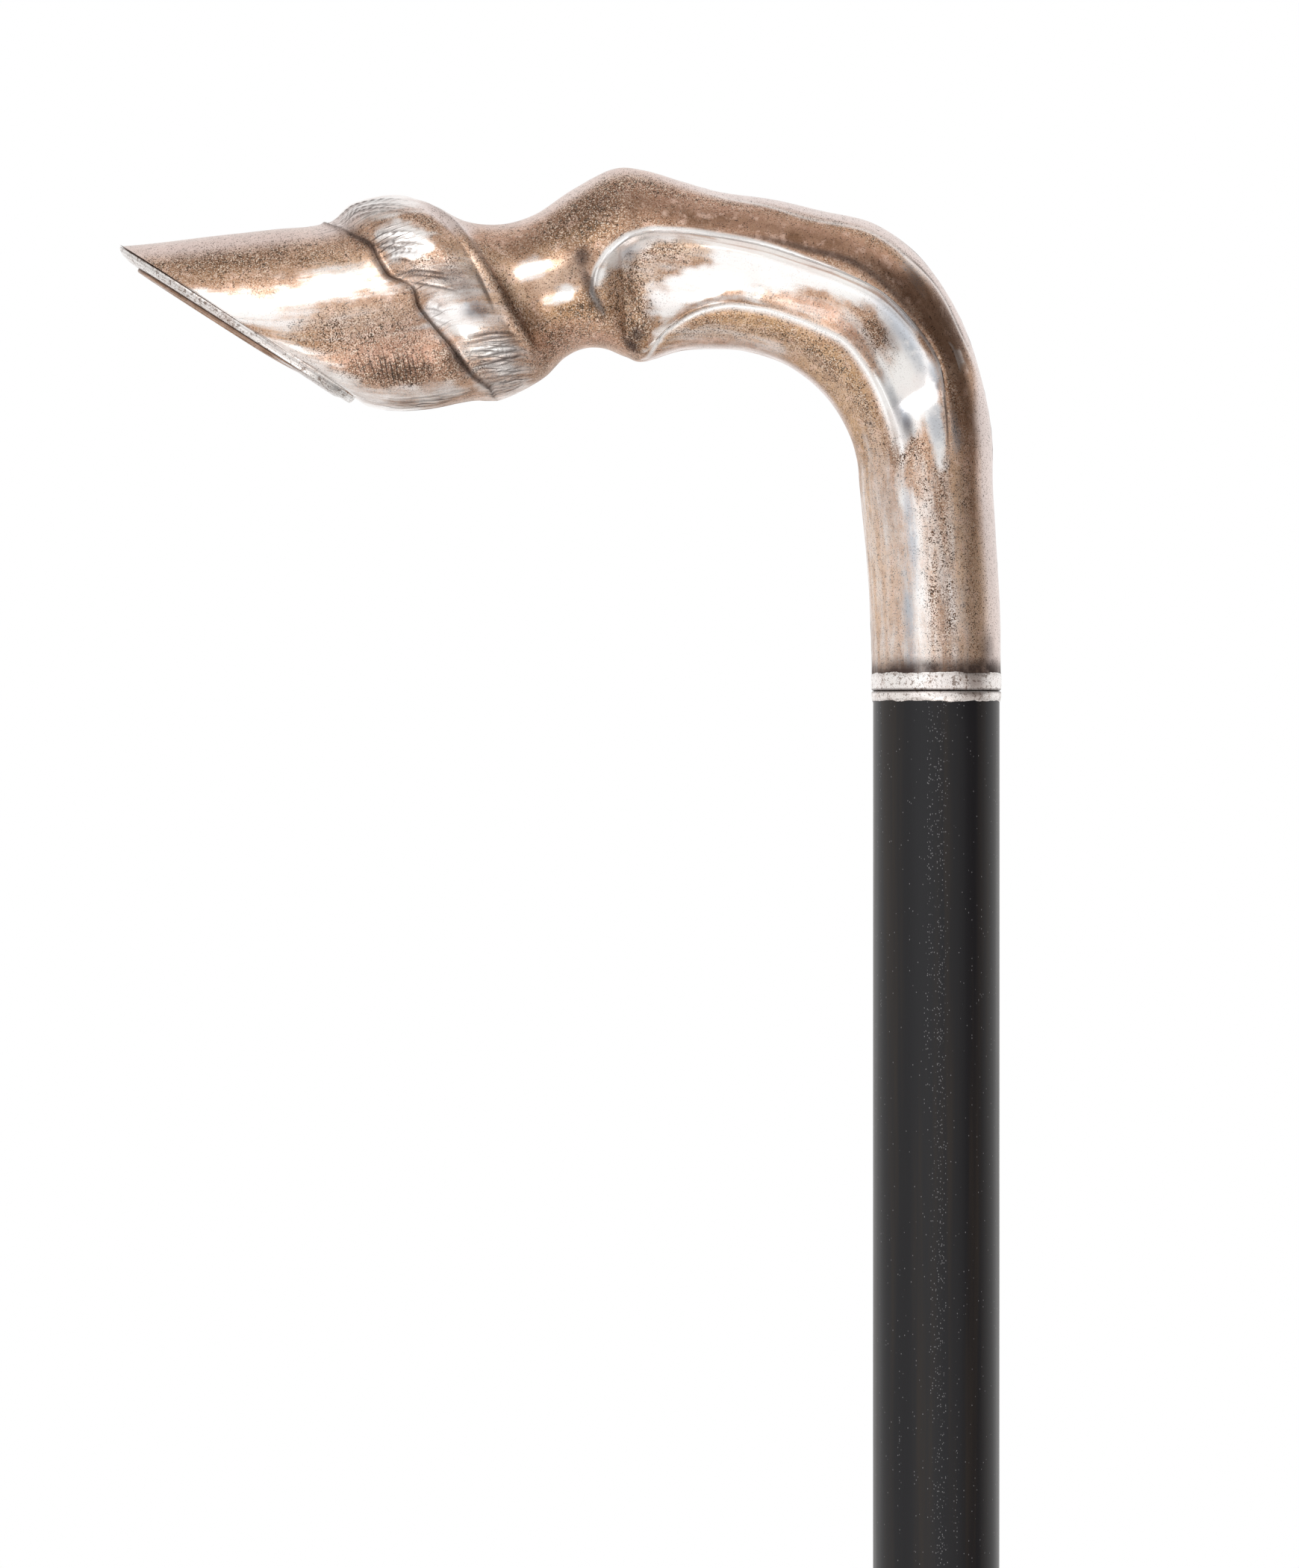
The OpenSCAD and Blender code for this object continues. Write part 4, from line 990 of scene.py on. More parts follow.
def makeSilver(name, leastClean=0.0, leastPitted=0.0, shine=0.12, grime=0.0):
    material, tree, where = newMaterial(name)
    rubAndEdgeSheen = attribute(tree, "rubAndEdgeSheen")
    ridge = attribute(tree, "ridge")
    grains = ("clouds", "blotches", "fine", "coarse", "flecks", "mottle")
    clouds, blotches, fine, coarse, flecks, mottle = (noise(tree, where, *silver[grain]) for grain in grains)
    parts = separated(tree, addNode(tree, "ShaderNodeUVMap", uv_map="skin").outputs[0])
    stretched = combined(tree, times(tree, parts["X"], silver["streakAlong"]),
                         times(tree, parts["Y"], silver["streakAcross"]))
    streaks = noise(tree, stretched, 1.0, 4.0, 0.6)
    plateAndHighlight = larger(tree, attribute(tree, "plateAndHighlight"), leastClean)
    spread = times(tree, minus(tree, blotches, 0.5), 0.5)
    spread = timesPlus(tree, minus(tree, streaks, 0.5), 1.3, spread)
    spread = timesPlus(tree, minus(tree, fine, 0.5), 0.5, spread)
    spread = times(tree, spread, between(tree, plateAndHighlight, *silver["plateFray"]))
    plateAndHighlight = between(tree, plus(tree, plateAndHighlight, spread), *silver["plateEdge"])
    plateAndHighlight = larger(tree, plateAndHighlight, times(tree, ridge, silver["ridgeClean"]))
    pitted = larger(tree, attribute(tree, "pitted"), leastPitted)
    crowd = times(tree, pitted, between(tree, blotches, *silver["pitCrowding"]))
    crowd = times(tree, crowd, minus(tree, 1.0, times(tree, rubAndEdgeSheen, silver["rubbedPits"])))

    # the worn skin: copper, its stains, flecks and pits
    tone = mixColour(tree, between(tree, clouds, *silver["copperToUmber"]), silver["copper"], silver["umber"])
    # the dark stain carries painted shade as well as tarnish
    for stain, strength in silver["stains"].items():
        share = times(tree, attribute(tree, stain), between(tree, blotches, 0.3, 0.65, strength, 0.55))
        tone = mixColour(tree, share, tone, silver[stain])
    read = {"mottle": mottle, "streaks": streaks}
    for grain, ramp, colour in silver["tones"]:
        tone = mixColour(tree, between(tree, read[grain], *ramp), tone, silver[colour])
    # pale flecks in the pitted zones, partly painted glints
    flecksAndGlints = times(tree, between(tree, flecks, *silver["fleckRamp"]), times(tree, crowd, 1.1))
    tone = mixColour(tree, flecksAndGlints, tone, silver["fleck"])
    # a lilac painted reflection along the top and under edges, partly hand wear
    tone = mixColour(tree, times(tree, rubAndEdgeSheen, silver["rubAndSheenTone"]), tone, silver["lilacSheen"])
    level = timesPlus(tree, coarse, 0.25, times(tree, fine, 0.75))
    level = timesPlus(tree, crowd, 0.15, level)
    pits = between(tree, level, *silver["pitRamp"])
    pitTone = mixColour(tree, between(tree, coarse, *silver["deepPitRamp"]), silver["pit"], silver["deepPit"])
    tone = mixColour(tree, times(tree, pits, silver["pitTone"]), tone, pitTone)

    # the plate that is left, with the painted highlights that share its mask, laid over the worn skin
    plate = mixColour(tree, between(tree, clouds, *silver["mistRamp"]), silver["bright"], silver["misty"])
    # blue-grey on the plate, in part a painted reflection
    bluishStainAndReflection = times(tree, attribute(tree, "bluish"), between(tree, blotches, *silver["bluishRamp"]))
    plate = mixColour(tree, bluishStainAndReflection, plate, silver["bluish"])
    plate = mixColour(tree, times(tree, pits, times(tree, crowd, 2.0)), plate, pitTone)
    tone = mixColour(tree, plateAndHighlight, tone, plate)
    # painted highlight along the ridges in a near-white colour, partly polish
    tone = mixColour(tree, times(tree, ridge, silver["ridgePolishAndHighlight"]), tone, silver["polishedHighlight"])
    if grime:
        tone = mixColour(tree, between(tree, blotches, 0.52, 0.66, 0.0, 0.5 * grime), tone, silver["umber"])
        tone = mixColour(tree, between(tree, coarse, 0.55, 0.62, 0.0, grime), tone, silver["pit"])

    # cut hair, soot, and painted shade in the recesses, over both
    hairs = cutLines(tree, parts["Y"], parts["X"], silver["hairSpacing"], silver["hairWander"])
    hairs = times(tree, hairs, larger(tree, attribute(tree, "haired"), attribute(tree, "grown")))
    slanted = timesPlus(tree, parts["Y"], -silver["combSlant"], parts["X"])
    combed = cutLines(tree, slanted, parts["Y"], silver["combSpacing"], silver["combWander"])
    cuts = larger(tree, hairs, times(tree, combed, attribute(tree, "combed")))
    smoky = times(tree, attribute(tree, "smoke"), between(tree, blotches, *silver["smokeRamp"]))
    dark = larger(tree, times(tree, attribute(tree, "recess"), silver["recessDark"]), smoky)
    dark = larger(tree, dark, times(tree, cuts, silver["cutDark"]))

    rough = between(tree, clouds, 0.3, 0.7, shine, shine + 0.05)
    rough = timesPlus(tree, minus(tree, 1.0, plateAndHighlight), silver["wornRough"], rough)
    rough = timesPlus(tree, attribute(tree, "glossy"), silver["glossyRough"], rough)
    rough = timesPlus(tree, crowd, silver["pittedRough"], rough)
    rough = timesPlus(tree, dark, silver["darkRough"], rough)
    relief = minus(tree, times(tree, minus(tree, coarse, pits), plus(tree, crowd, 0.05)), cuts)
    coat(tree, {
        "Base Color": mixColour(tree, dark, tone, silver["tarnishAndShade"]), "Metallic": 1.0, "Roughness": rough,
        "Normal": bumped(tree, relief, 0.22, 0.0001),
    })
    return material


silverSheet = makeSilver("silveredSheet")
paleSilver = makeSilver("paleSilver", 0.85, 0.3, 0.14, 0.6)
nearHalf = makeHalf("handleNear", False, silverSheet)
farHalf = makeHalf("handleFar", True, silverSheet)
seat(nearHalf, "silvered_sheet", "handle_half_near")
seat(farHalf, "silvered_sheet", "handle_half_far")
print("handle halves:", len(nearHalf.data.polygons), "faces each")

# The sole's plane: x from the toe to the heel, y across, z out of the hoof
sole = {
    "plate": 1.2, "bevel": 0.4, "toeRoll": 3.2, "shoe": 0.5, "margin": 0.8, "web": 4.6, "length": 33.5,
    "frogLength": 15.0, "frogWidth": 9.0, "frogHeight": 0.35, "around": 180, "dish": 0.12,
    # how dark the lines scratched along the rim are
    "rimLines": [0.5, 0.1, 0.45, 0.05, 0.3, 0.0, 0.35, 0.1, 0.3],
}
soleSpan = math.hypot(sections[0][0] - sections[0][2], sections[0][1] - sections[0][3])


def onSole(points):
    toe = sections[0]
    points = np.asarray(points, float)
    along = np.array([toe[2] - toe[0], 0, toe[3] - toe[1]]) / soleSpan
    outward = np.array([along[2], 0, -along[0]])
    origin = np.array([toe[0], 0, toe[1] + shoulder])
    across = np.array([0, 1, 0])
    return (origin + points[..., :1] * along + points[..., 1:2] * across + points[..., 2:] * outward) * mm


def soleOutline(turn, margin, toeCut):
    half = soleSpan / 2 - margin - toeCut / 2
    x = (soleSpan + toeCut) / 2 - half * np.sin(turn)
    y = (sections[0][4] - margin) * np.sign(np.cos(turn)) * np.abs(np.cos(turn)) ** sections[0][8]
    return x, y


# Height of the frog and of the grooves beside it, over the sole
def frogRelief(x, y):
    heel = soleSpan - 2.4
    tip = heel - sole["frogLength"]
    share = ((x - tip) / (heel - tip)).clip(0, 1)
    half = sole["frogWidth"] / 2 * share ** 0.8
    mound = 1 / (1 + np.exp((np.abs(y) - half) / 0.22)) * (share > 0) * (1 / (1 + np.exp((x - heel) / 0.25)))
    cleft = np.exp(-(y / (0.35 + 0.9 * share)) ** 2) * np.interp(share, [0.35, 0.7, 1], [0, 0.8, 1.3])
    beside = np.exp(-((np.abs(y) - half - 0.7) / 0.5) ** 2) * np.interp(share, [0.05, 0.3], [0, 1])
    return sole["frogHeight"] * mound * (1 - cleft) - 0.22 * beside * (x < heel + 0.5)


def makeSolePlate():
    turn = np.linspace(-math.pi / 2, 1.5 * math.pi, sole["around"], endpoint=False)
    rings = []
    ages = []
    for lift in np.linspace(0, math.pi / 2, 9):
        ease = 1 - math.cos(lift)
        x, y = soleOutline(turn, sole["bevel"] * ease, sole["toeRoll"] * ease)
        rings.append(np.stack([x, y, np.full(x.shape, sole["plate"] * math.sin(lift))], -1))
        ages.append(np.full(x.shape, sole["rimLines"][len(ages)]))
    edge = rings[-1]
    middle = np.stack([edge[:, 0].clip(12, soleSpan - 11), np.zeros(len(edge)), edge[:, 2]], -1)
    for share in np.linspace(1, 0, 40)[1:]:
        ring = middle + (edge - middle) * share
        ring[:, 2] += frogRelief(ring[:, 0], ring[:, 1]) - sole["dish"] * (1 - share)
        rings.append(ring)
        ages.append(0.3 + 0.6 * (frogRelief(ring[:, 0], ring[:, 1]) < -0.04))
    centre = middle * (1, 1, 0)
    back = [centre + (rings[0] - centre) * share for share in np.linspace(0, 1, 6)[:-1]]
    rings += back
    ages += [np.zeros(len(edge))] * len(back)
    points = np.array(rings)
    points[..., :2] += waviness(points, 41, 9, 0.03)[..., None] * (points[..., 2:] > 0.1)
    points = onSole(points)
    around = len(turn)
    faces = []
    for i in range(len(rings)):
        below = i * around
        above = (i + 1) % len(rings) * around
        for j in range(around):
            n = (j + 1) % around
            faces.append((below + j, above + j, above + n, below + n))
    piece = newPiece("solePlate", points.reshape(-1, 3), faces, paleSilver)
    setLayer(piece.data, "recess", ages)
    closeMesh(piece)
    return piece


# Merges what coincides and turns the faces of a closed mesh outwards
def closeMesh(piece, reach=0.01):
    work = bmesh.new()
    work.from_mesh(piece.data)
    bmesh.ops.remove_doubles(work, verts=work.verts, dist=reach * mm)
    bmesh.ops.dissolve_degenerate(work, edges=work.edges, dist=reach * mm / 2)
    bmesh.ops.recalc_face_normals(work, faces=work.faces)
    work.to_mesh(piece.data)
    work.free()


# The shoe's section: how far in from its edge, and how high over the plate, with the crease for the nails
def shoeProfile():
    web = sole["web"]
    high = sole["shoe"]
    crease = web / 3
    corners = [(0, 0), (0, high * 0.7), (high * 0.3, high), (crease, high), (crease + 0.2, high * 0.62),
               (crease + web / 4 - 0.2, high * 0.62), (crease + web / 4, high), (web - high * 0.3, high),
               (web, high * 0.7), (web, 0)]
    steps = []
    for start, end in zip(corners, corners[1:]):
        count = max(2, int(math.dist(start, end) / 0.22))
        steps += [np.array(start) + (np.array(end) - np.array(start)) * k / count for k in range(count)]
    return np.array(steps + [corners[-1]])


def makeHorseshoe():
    profile = shoeProfile()
    turns = np.linspace(-0.42 * math.pi, 1.42 * math.pi, 400)
    outerX, _ = soleOutline(turns, sole["margin"], sole["toeRoll"])
    inReach = turns[outerX < sole["length"]]
    first, last = inReach[0], inReach[-1]
    rows = []
    for k, turn in enumerate(np.linspace(first, last, 200)):
        ease = 1 - 0.9 * math.exp(-(min(k, 199 - k) / 14) ** 2)          # the ends are filed down
        row = []
        for inward, high in profile:
            x, y = soleOutline(np.array([turn]), sole["margin"] + inward, sole["toeRoll"])
            row.append((min(float(x[0]), sole["length"]), float(y[0]), sole["plate"] + high * ease))
        rows.append(row)
    points = onSole(np.array(rows))
    length, wide = len(rows), len(profile)
    faces = []
    for i in range(length - 1):
        for j in range(wide):
            n = (j + 1) % wide
            faces.append((i * wide + j, i * wide + n, (i + 1) * wide + n, (i + 1) * wide + j))
    faces.append(tuple(range(wide)))
    faces.append(tuple(reversed(range((length - 1) * wide, length * wide))))
    piece = newPiece("horseshoe", points.reshape(-1, 3), faces, silverSheet)
    # the shoe's sides and nail crease are darkened: painted shade beside the plate, with tarnish
    darkness = np.where(profile[:, 1] < sole["shoe"] * 0.7, 0.85, 0.3)
    setLayer(piece.data, "recess", np.tile(darkness, length))
    closeMesh(piece, 0.002)
    return piece


solePlate = makeSolePlate()
seat(solePlate, "pale_silver", "sole_plate")
horseshoe = makeHorseshoe()
seat(horseshoe, "silvered_sheet", "horseshoe")
print("sole and shoe:", len(solePlate.data.polygons), len(horseshoe.data.polygons), "faces")


# turned pieces: a profile of radius and height is spun round the shaft's axis
def newGroup(name, inputs):
    tree = bpy.data.node_groups.new(name, "GeometryNodeTree")
    for socket, (kind, value) in inputs.items():
        made = tree.interface.new_socket(name=socket, in_out="INPUT", socket_type="NodeSocket" + kind)
        if value is not None:
            made.default_value = value
    tree.interface.new_socket(name="Geometry", in_out="OUTPUT", socket_type="NodeSocketGeometry")
    return tree, tree.nodes.new("NodeGroupInput").outputs


# Runs a geometry through one node after another, and out of the group
def chained(tree, geometry, steps):
    for kind, values in steps:
        geometry = addNode(tree, "GeometryNode" + kind, {"Geometry": geometry, **values}).outputs[0]
    addNode(tree, "NodeGroupOutput", {0: geometry})
    return tree


def fromProfile(tree, geometry, row, field, kind="FLOAT"):
    values = {"Geometry": geometry, "Value": field, "Index": row}
    return addNode(tree, "GeometryNodeSampleIndex", values, data_type=kind, domain="POINT").outputs["Value"]


def named(tree, name):
    made = addNode(tree, "GeometryNodeInputNamedAttribute", {"Name": name}, data_type="FLOAT")
    return made.outputs["Attribute"]


def makeTurnedTree():
    tree, given = newGroup("turnedPiece", {
        "Profile": ("Geometry", None), "Sides": ("Int", 96), "Unevenness": ("Float", 0.0),
        "Ragged": ("Float", 0.0), "Lumps": ("Float", 300.0), "Seed": ("Float", 0.0),
        "Material": ("Material", None),
    })
    profile = given["Profile"]
    count = addNode(tree, "GeometryNodeAttributeDomainSize", {"Geometry": profile}, component="MESH")
    count = count.outputs["Point Count"]
    size = {"Vertices X": plus(tree, given["Sides"], 1.0), "Vertices Y": count}
    grid = addNode(tree, "GeometryNodeMeshGrid", size)
    index = tree.nodes.new("GeometryNodeInputIndex").outputs[0]
    column = maths(tree, "FLOOR", maths(tree, "DIVIDE", plus(tree, index, 0.5), count))
    row = minus(tree, index, times(tree, column, count))
    position = tree.nodes.new("GeometryNodeInputPosition").outputs[0]
    parts = separated(tree, fromProfile(tree, profile, row, position, "FLOAT_VECTOR"))
    turn = times(tree, maths(tree, "DIVIDE", column, given["Sides"]), 2 * math.pi)
    turn = times(tree, turn, maths(tree, "LESS_THAN", column, given["Sides"]))     # closes the seam
    cos = maths(tree, "COSINE", turn)
    sin = maths(tree, "SINE", turn)
    aroundX = times(tree, cos, 0.009)
    aroundY = times(tree, sin, 0.009)
    rough = combined(tree, aroundX, aroundY, timesPlus(tree, parts["Z"], 0.2, given["Seed"]))
    slow = minus(tree, noise(tree, rough, given["Lumps"], 3.0, 0.6), 0.5)
    sample = combined(tree, aroundX, aroundY, given["Seed"])
    edge = minus(tree, noise(tree, sample, given["Lumps"], 4.0, 0.65), 0.5)
    ragged = fromProfile(tree, profile, row, named(tree, "ragged"))
    radius = timesPlus(tree, slow, given["Unevenness"], parts["X"])
    radius = times(tree, radius, maths(tree, "GREATER_THAN", parts["X"], 0.00001))
    lift = times(tree, times(tree, edge, given["Ragged"]), ragged)
    spun = combined(tree, times(tree, radius, cos), times(tree, radius, sin), plus(tree, parts["Z"], lift))
    recess = fromProfile(tree, profile, row, named(tree, "recess"))
    stored = addNode(tree, "GeometryNodeStoreNamedAttribute", {
        "Geometry": grid.outputs["Mesh"], "Name": "recess", "Value": recess,
    }, data_type="FLOAT", domain="POINT")
    return chained(tree, stored.outputs["Geometry"], [
        ("SetPosition", {"Position": spun}), ("MergeByDistance", {"Distance": 0.000002}),
        ("SetShadeSmooth", {"Shade Smooth": True}), ("RealizeInstances", {}),
        ("SetMaterial", {"Material": given["Material"]}),
    ])


# Corners of a profile are (radius, height, rounding, ragged, recess); long spans get points in between
def roundedProfile(corners, closed, longest):
    rows = []
    count = len(corners)
    for i, (radius, height, rounding, *marks) in enumerate(corners):
        here = np.array([radius, height, *marks])
        before = np.array(corners[i - 1][:2])
        after = np.array(corners[(i + 1) % count][:2])
        if rounding == 0 or (not closed and i in (0, count - 1)):
            rows.append(here)
            continue
        start = here.copy()
        end = here.copy()
        start[:2] += (before - here[:2]) / math.dist(before, here[:2]) * rounding
        end[:2] += (after - here[:2]) / math.dist(after, here[:2]) * rounding
        rows += [start * (1 - t) ** 2 + here * 2 * t * (1 - t) + end * t ** 2 for t in np.linspace(0, 1, 6)]
    if closed:
        rows.append(rows[0])
    filled = []
    for start, end in zip(rows, rows[1:]):
        steps = max(1, int(math.dist(start[:2], end[:2]) / longest))
        filled += [start + (end - start) * k / steps for k in range(steps)]
    return np.array(filled + [rows[-1]])


def profileObject(name, rows):
    mesh = bpy.data.meshes.new(name + "Profile")
    points = [(row[0] * mm, 0, row[1] * mm) for row in rows]
    mesh.from_pydata(points, [(i, i + 1) for i in range(len(rows) - 1)], [])
    setLayer(mesh, "ragged", rows[:, 2])
    setLayer(mesh, "recess", rows[:, 3])
    return newObject(name + "Profile", mesh)


# Runs a node tree on an object and keeps the result as a plain mesh
def runTree(name, holder, tree, values):
    modifier = holder.modifiers.new("shape", "NODES")
    modifier.node_group = tree
    for item in tree.interface.items_tree:
        if item.in_out == "INPUT" and item.name in values:
            modifier[item.identifier] = values[item.name]
    bpy.context.view_layer.update()
    evaluated = holder.evaluated_get(bpy.context.evaluated_depsgraph_get())
    mesh = bpy.data.meshes.new_from_object(evaluated)
    mesh.name = name
    holder.modifiers.clear()
    bpy.data.objects.remove(holder)
    return newObject(name, mesh)


def turned(name, corners, closed, material, longest=1.0, **values):
    values = {"Material": material, **values}
    piece = runTree(name, profileObject(name, roundedProfile(corners, closed, longest)), turnedTree, values)
    closeMesh(piece, 0.001)
    return piece


turnedTree = makeTurnedTree()

collar = {
    "bore": 6.38, "reach": 9.5, "socket": 9.35, "wood": 9.2, "line": 1.25, "top": 3.35,
    "solderRise": 0.5, "solderDrop": 0.3, "ragged": 1.3, "lumps": 230.0, "uneven": 0.12,
}


def makeCollar():
    foot = shoulder
    line = shoulder + collar["line"]
    top = shoulder + collar["top"]
    bore = collar["bore"]
    reach = collar["reach"]
    socket = collar["socket"]
    wood = collar["wood"]
    # the last number of each corner darkens the skin there: painted shade along the solder edges, and the
    # dark joint line between the rings
    band = [
        (bore, line, 0, 0, 1), (reach - 0.35, line, 0.1, 0, 1), (reach - 0.1, line + 0.12, 0.1, 0, 0.8),
        (reach, line + 0.7, 0.3, 0, 0), (reach - 0.02, top - 0.3, 0.2, 0, 0),
        (socket + 0.09, top + collar["solderRise"] * 0.6, 0.15, 1, 0.2),
        (socket + 0.05, top + collar["solderRise"], 0.02, 1, 0.9), (socket - 0.15, top + 0.1, 0, 1, 1),
        (bore, top, 0, 0, 1),
    ]
    drop = collar["solderDrop"]
    bead = [
        (bore, foot, 0, 0, 1), (wood - 0.15, foot, 0, 0, 1), (wood + 0.03, foot - drop, 0.02, 1, 0.9),
        (wood + 0.12, foot - drop * 0.5, 0.1, 0.8, 0.2), (reach, foot + 0.5, 0.3, 0, 0),
        (reach - 0.1, line - 0.15, 0.1, 0, 0.6), (reach - 0.35, line - 0.02, 0.1, 0, 1),
        (bore, line - 0.02, 0, 0, 1),
    ]
    common = {"Sides": 240, "Ragged": collar["ragged"] * mm, "Lumps": collar["lumps"]}
    common["Unevenness"] = collar["uneven"] * mm
    seat(turned("collarBand", band, True, paleSilver, 0.25, Seed=1.7, **common), "pale_silver", "collar_band")
    seat(turned("collarBead", bead, True, giltSilver, 0.25, Seed=4.1, **common), "gilt_bead", "collar_bead")


giltSilver = makeSilver("giltSilver", 0.8, 0.3, 0.14, 0.5)
makeCollar()
print("collar done")


# wood
stick = {
    "wood": 9.2, "foot": 6.35, "spigot": 5.57, "spigotFrom": 12.08, "sleeveTop": 41.0, "parallel": 160.0,
    "tenon": 6.3, "tenonLength": 34.0, "poreLane": 0.4, "uneven": 0.1,
    "black": (0.0045, 0.0045, 0.0065, 1), "brown": (0.016, 0.011, 0.008, 1), "pore": (0.17, 0.165, 0.175, 1),
}


def makeWood():
    material, tree, where = newMaterial("blackWood")
    grain = noise(tree, scaled(tree, where, (400, 400, 9)), 1.0, 4, 0.6)
    lane = noise(tree, scaled(tree, where, (700, 700, 8)), 1.0, 2)
    tone = mixColour(tree, between(tree, grain, 0.45, 0.75), stick["black"], stick["brown"])
    pores = {"Vector": scaled(tree, where, (4200, 4200, 2600)), "Scale": 1.0}
    cells = addNode(tree, "ShaderNodeTexVoronoi", pores, feature="F1")
    dot = between(tree, cells.outputs["Distance"], 0.16, 0.34, 1.0, 0.0)
    chosen = separated(tree, cells.outputs["Color"])["X"]
    aside = maths(tree, "ABSOLUTE", minus(tree, separated(tree, where)["X"], stick["poreLane"] * mm))
    crowded = larger(tree, between(tree, lane, 0.58, 0.74), between(tree, aside, 0.0012, 0.0001))
    least = timesPlus(tree, crowded, -0.6, 0.97)
    dots = times(tree, dot, maths(tree, "GREATER_THAN", chosen, least))
    coat(tree, {
        "Base Color": mixColour(tree, dots, tone, stick["pore"]), "Specular IOR Level": 0.33,
        "Roughness": between(tree, grain, 0.3, 0.7, 0.26, 0.4),
        "Normal": bumped(tree, minus(tree, times(tree, grain, 0.6), dots), 0.3, 0.00006),
    })
    return material


def makeShaft():
    wood = stick["wood"]
    tenonTop = shoulder + stick["tenonLength"]
    corners = [
        (0, stick["spigotFrom"], 0, 0, 0), (stick["spigot"], stick["spigotFrom"], 0.3, 0, 0),
        (stick["spigot"], stick["sleeveTop"], 0, 0, 0), (stick["foot"], stick["sleeveTop"], 0.08, 0, 0),
        (wood, shoulder - stick["parallel"], 40, 0, 0), (wood, shoulder, 0.1, 0, 0),
        (stick["tenon"], shoulder, 0, 0, 0), (stick["tenon"], tenonTop, 0.5, 0, 0), (0, tenonTop, 0, 0, 0),
    ]
    uneven = stick["uneven"] * mm
    return turned("shaft", corners, False, blackWood, 4.0, Sides=128, Unevenness=uneven, Lumps=45.0, Seed=2.3)


blackWood = makeWood()
seat(makeShaft(), "black_wood", "shaft")
print("shaft done")


# ferrule
ferrule = {
    "tube": 6.35, "bore": 5.65, "tip": 5.0, "top": 41.0, "rim": 6.117, "shank": 5.57, "shankTop": 12.0,
    "pinDrop": 6.0, "pin": 0.6, "pinLength": 4.2, "pins": 2, "tubeUneven": 0.1, "tipUneven": 0.25,
    # colours: fresh, dull, dirt
    "brass": ((0.62, 0.43, 0.20, 1), (0.40, 0.28, 0.15, 1), (0.06, 0.05, 0.03, 1)),
    "steel": ((0.42, 0.41, 0.40, 1), (0.26, 0.24, 0.23, 1), (0.07, 0.045, 0.03, 1)),
}


def makeWornMetal(name, fresh, dull, dirt, shine):
    material, tree, where = newMaterial(name)
    cloud = noise(tree, where, 260.0, 4, 0.62)
    speckle = noise(tree, where, 1900.0, 3, 0.6)
    marks = noise(tree, scaled(tree, where, (60, 60, 5200)), 1.0, 2, 0.6)
    tone = mixColour(tree, between(tree, cloud, 0.36, 0.64), fresh, dull)
    tone = mixColour(tree, between(tree, speckle, 0.57, 0.7, 0.0, 0.8), tone, dirt)
    dark = larger(tree, attribute(tree, "recess"), between(tree, cloud, 0.62, 0.8, 0.0, 0.5))
    coat(tree, {
        "Base Color": mixColour(tree, dark, tone, dirt), "Metallic": 1.0,
        "Roughness": between(tree, cloud, 0.3, 0.7, shine, shine + 0.2),
        "Normal": bumped(tree, plus(tree, times(tree, marks, 0.5), speckle), 0.25, 0.00006),
    })
    return material


# Small turned pieces set round the axis, pointing outwards
def makeRoundTree():
    tree, given = newGroup("piecesRound", {
        "Profile": ("Geometry", None), "Count": ("Int", 2), "Ring": ("Float", 0.005),
        "Height": ("Float", 0.0), "First turn": ("Float", 0.0), "Sides": ("Int", 32),
        "Material": ("Material", None),
    })
    one = addNode(tree, "GeometryNodeGroup", node_tree=turnedTree)
    for name in ("Profile", "Sides", "Material"):
        tree.links.new(given[name], one.inputs[name])
    index = tree.nodes.new("GeometryNodeInputIndex").outputs[0]
    turn = times(tree, maths(tree, "DIVIDE", index, given["Count"]), 2 * math.pi)
    turn = plus(tree, turn, given["First turn"])
    cos = maths(tree, "COSINE", turn)
    sin = maths(tree, "SINE", turn)
    ring = combined(tree, times(tree, cos, given["Ring"]), times(tree, sin, given["Ring"]), given["Height"])
    points = addNode(tree, "GeometryNodePoints", {"Count": given["Count"], "Position": ring}).outputs[0]
    outward = combined(tree, cos, sin)
    facing = addNode(tree, "FunctionNodeAlignRotationToVector", {"Vector": outward}, axis="Z")
    placed = addNode(tree, "GeometryNodeInstanceOnPoints", {
        "Points": points, "Instance": one.outputs[0], "Rotation": facing.outputs[0],
    }).outputs[0]
    return chained(tree, placed, [("RealizeInstances", {}), ("SetMaterial", {"Material": given["Material"]})])


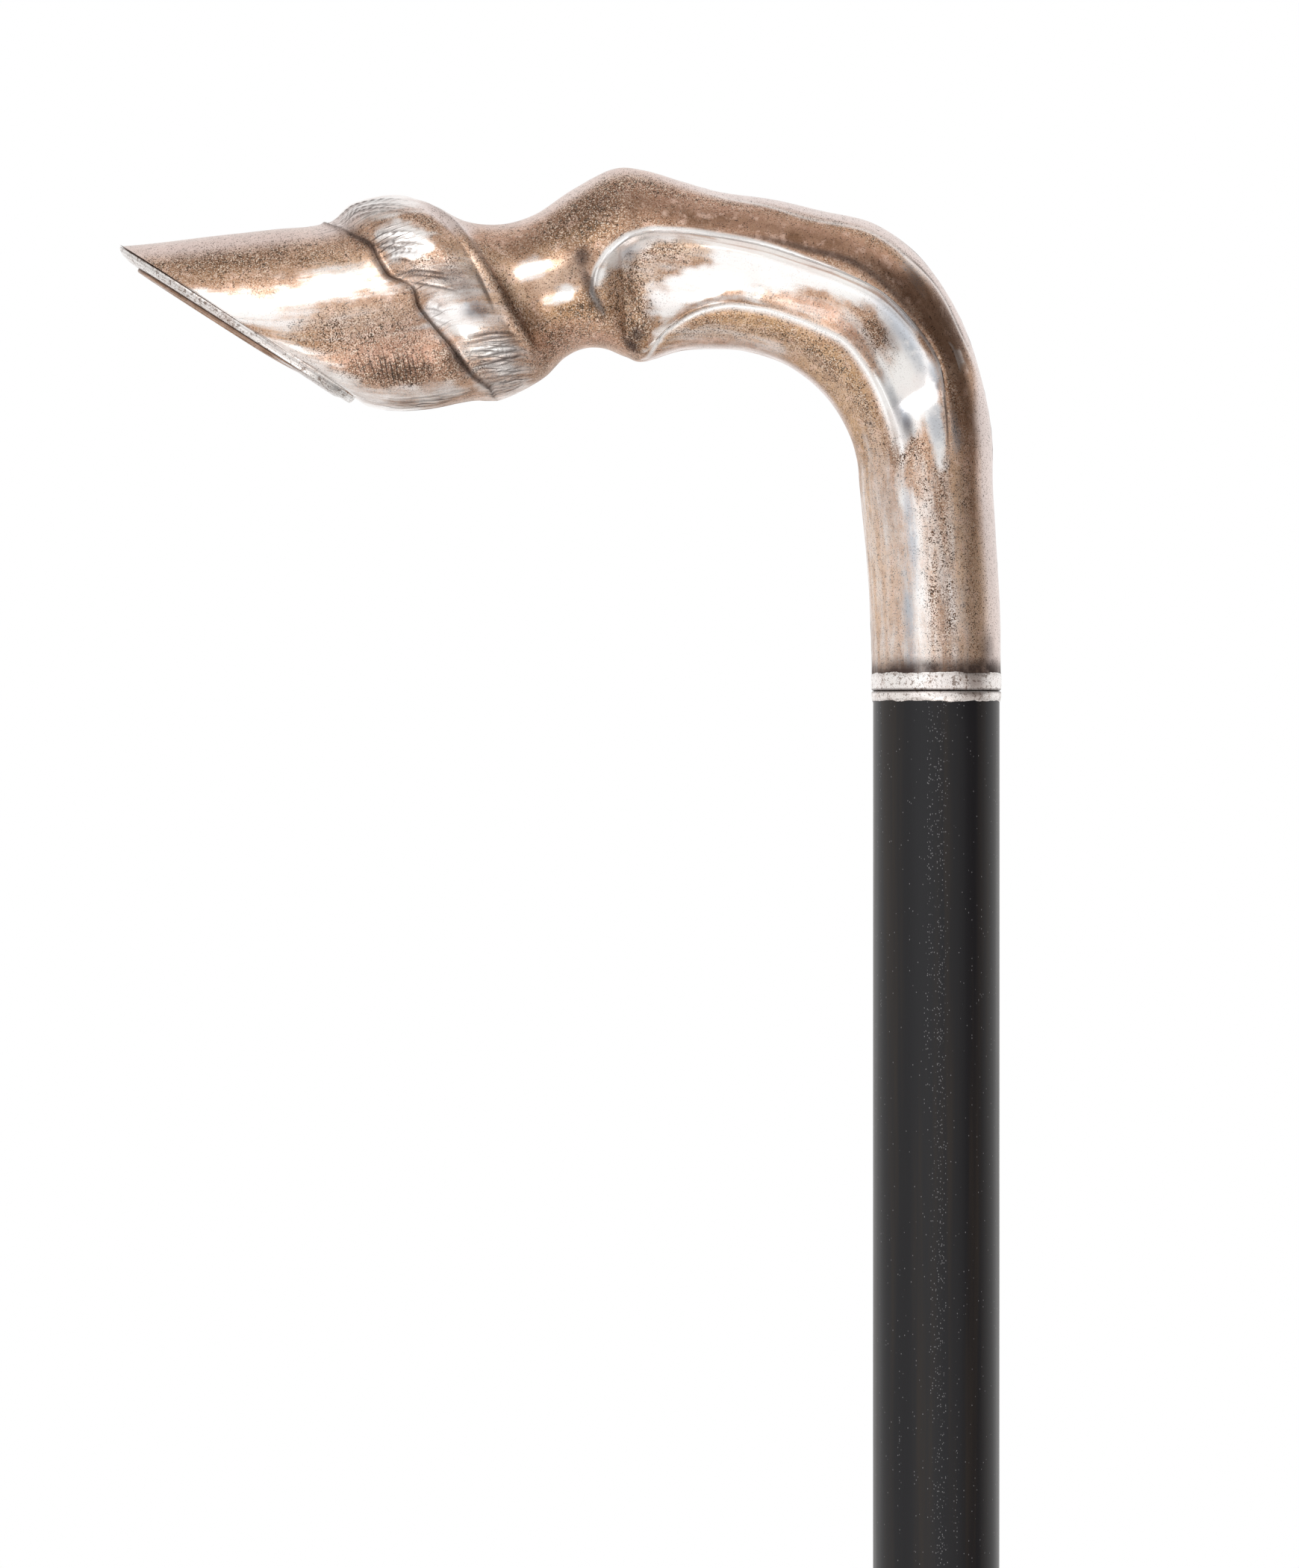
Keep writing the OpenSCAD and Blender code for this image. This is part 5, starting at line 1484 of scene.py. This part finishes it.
def makeFerrule():
    tube, bore, foot, top = (ferrule[key] for key in ("tube", "bore", "tip", "top"))
    rim, shank, shankTop = (ferrule[key] for key in ("rim", "shank", "shankTop"))
    radius, length = ferrule["pin"], ferrule["pinLength"]
    sleeve = [
        (bore, foot, 0, 0, 1), (tube, foot, 0.18, 0, 0.3), (tube, top, 0.22, 0, 0.5), (bore, top, 0, 0, 1),
    ]
    tip = [
        (0, 0.12, 0, 0, 0.3), (rim * 0.6, 0, 1.0, 0, 0), (rim, 0, 1.2, 0, 0), (rim, foot, 0.15, 0, 0.8),
        (shank, foot, 0, 0, 1), (shank, shankTop, 0, 0, 1), (0, shankTop, 0, 0, 1),
    ]
    pin = [
        (0, 0, 0, 0, 1), (radius, 0, 0.1, 0, 1), (radius, length - 0.05, 0.12, 0, 0.9),
        (radius * 0.5, length + 0.04, 0.2, 0, 0), (0, length + 0.06, 0, 0, 0),
    ]
    sleeveSkin = {"Sides": 128, "Unevenness": ferrule["tubeUneven"] * mm, "Lumps": 130.0, "Seed": 6.2}
    tipSkin = {"Sides": 96, "Unevenness": ferrule["tipUneven"] * mm, "Lumps": 280.0, "Seed": 3.4}
    tubePiece = turned("ferruleSleeve", sleeve, True, dullBrass, 0.8, **sleeveSkin)
    seat(tubePiece, "ferrule_brass", "ferrule_sleeve")
    seat(turned("ferruleTip", tip, False, wornSteel, 0.4, **tipSkin), "tip_steel", "ferrule_tip")
    values = {
        "Count": ferrule["pins"], "Ring": (tube - length) * mm, "First turn": math.pi / 2, "Sides": 32,
        "Height": (top - ferrule["pinDrop"]) * mm, "Material": dullBrass,
    }
    profile = profileObject("ferrulePins", roundedProfile(pin, False, 0.4))
    pins = runTree("ferrulePins", profile, roundTree, values)
    closeMesh(pins, 0.001)
    seat(pins, "ferrule_brass", "ferrule_pins")


dullBrass = makeWornMetal("dullBrass", *ferrule["brass"], 0.25)
wornSteel = makeWornMetal("wornSteel", *ferrule["steel"], 0.3)
roundTree = makeRoundTree()
makeFerrule()
print("ferrule done")


# filling
pitch = {"black": (0.022, 0.012, 0.008, 1), "brown": (0.05, 0.028, 0.016, 1)}


def makePitch():
    material, tree, where = newMaterial("pitch")
    lumps = noise(tree, where, 300.0, 4, 0.6)
    coat(tree, {
        "Base Color": mixColour(tree, between(tree, lumps, 0.35, 0.65), pitch["black"], pitch["brown"]),
        "Roughness": between(tree, lumps, 0.3, 0.7, 0.35, 0.7), "Normal": bumped(tree, lumps, 0.4, 0.0004),
    })
    return material


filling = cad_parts["handle_filling"]
filling.data.materials.clear()
filling.data.materials.append(makePitch())
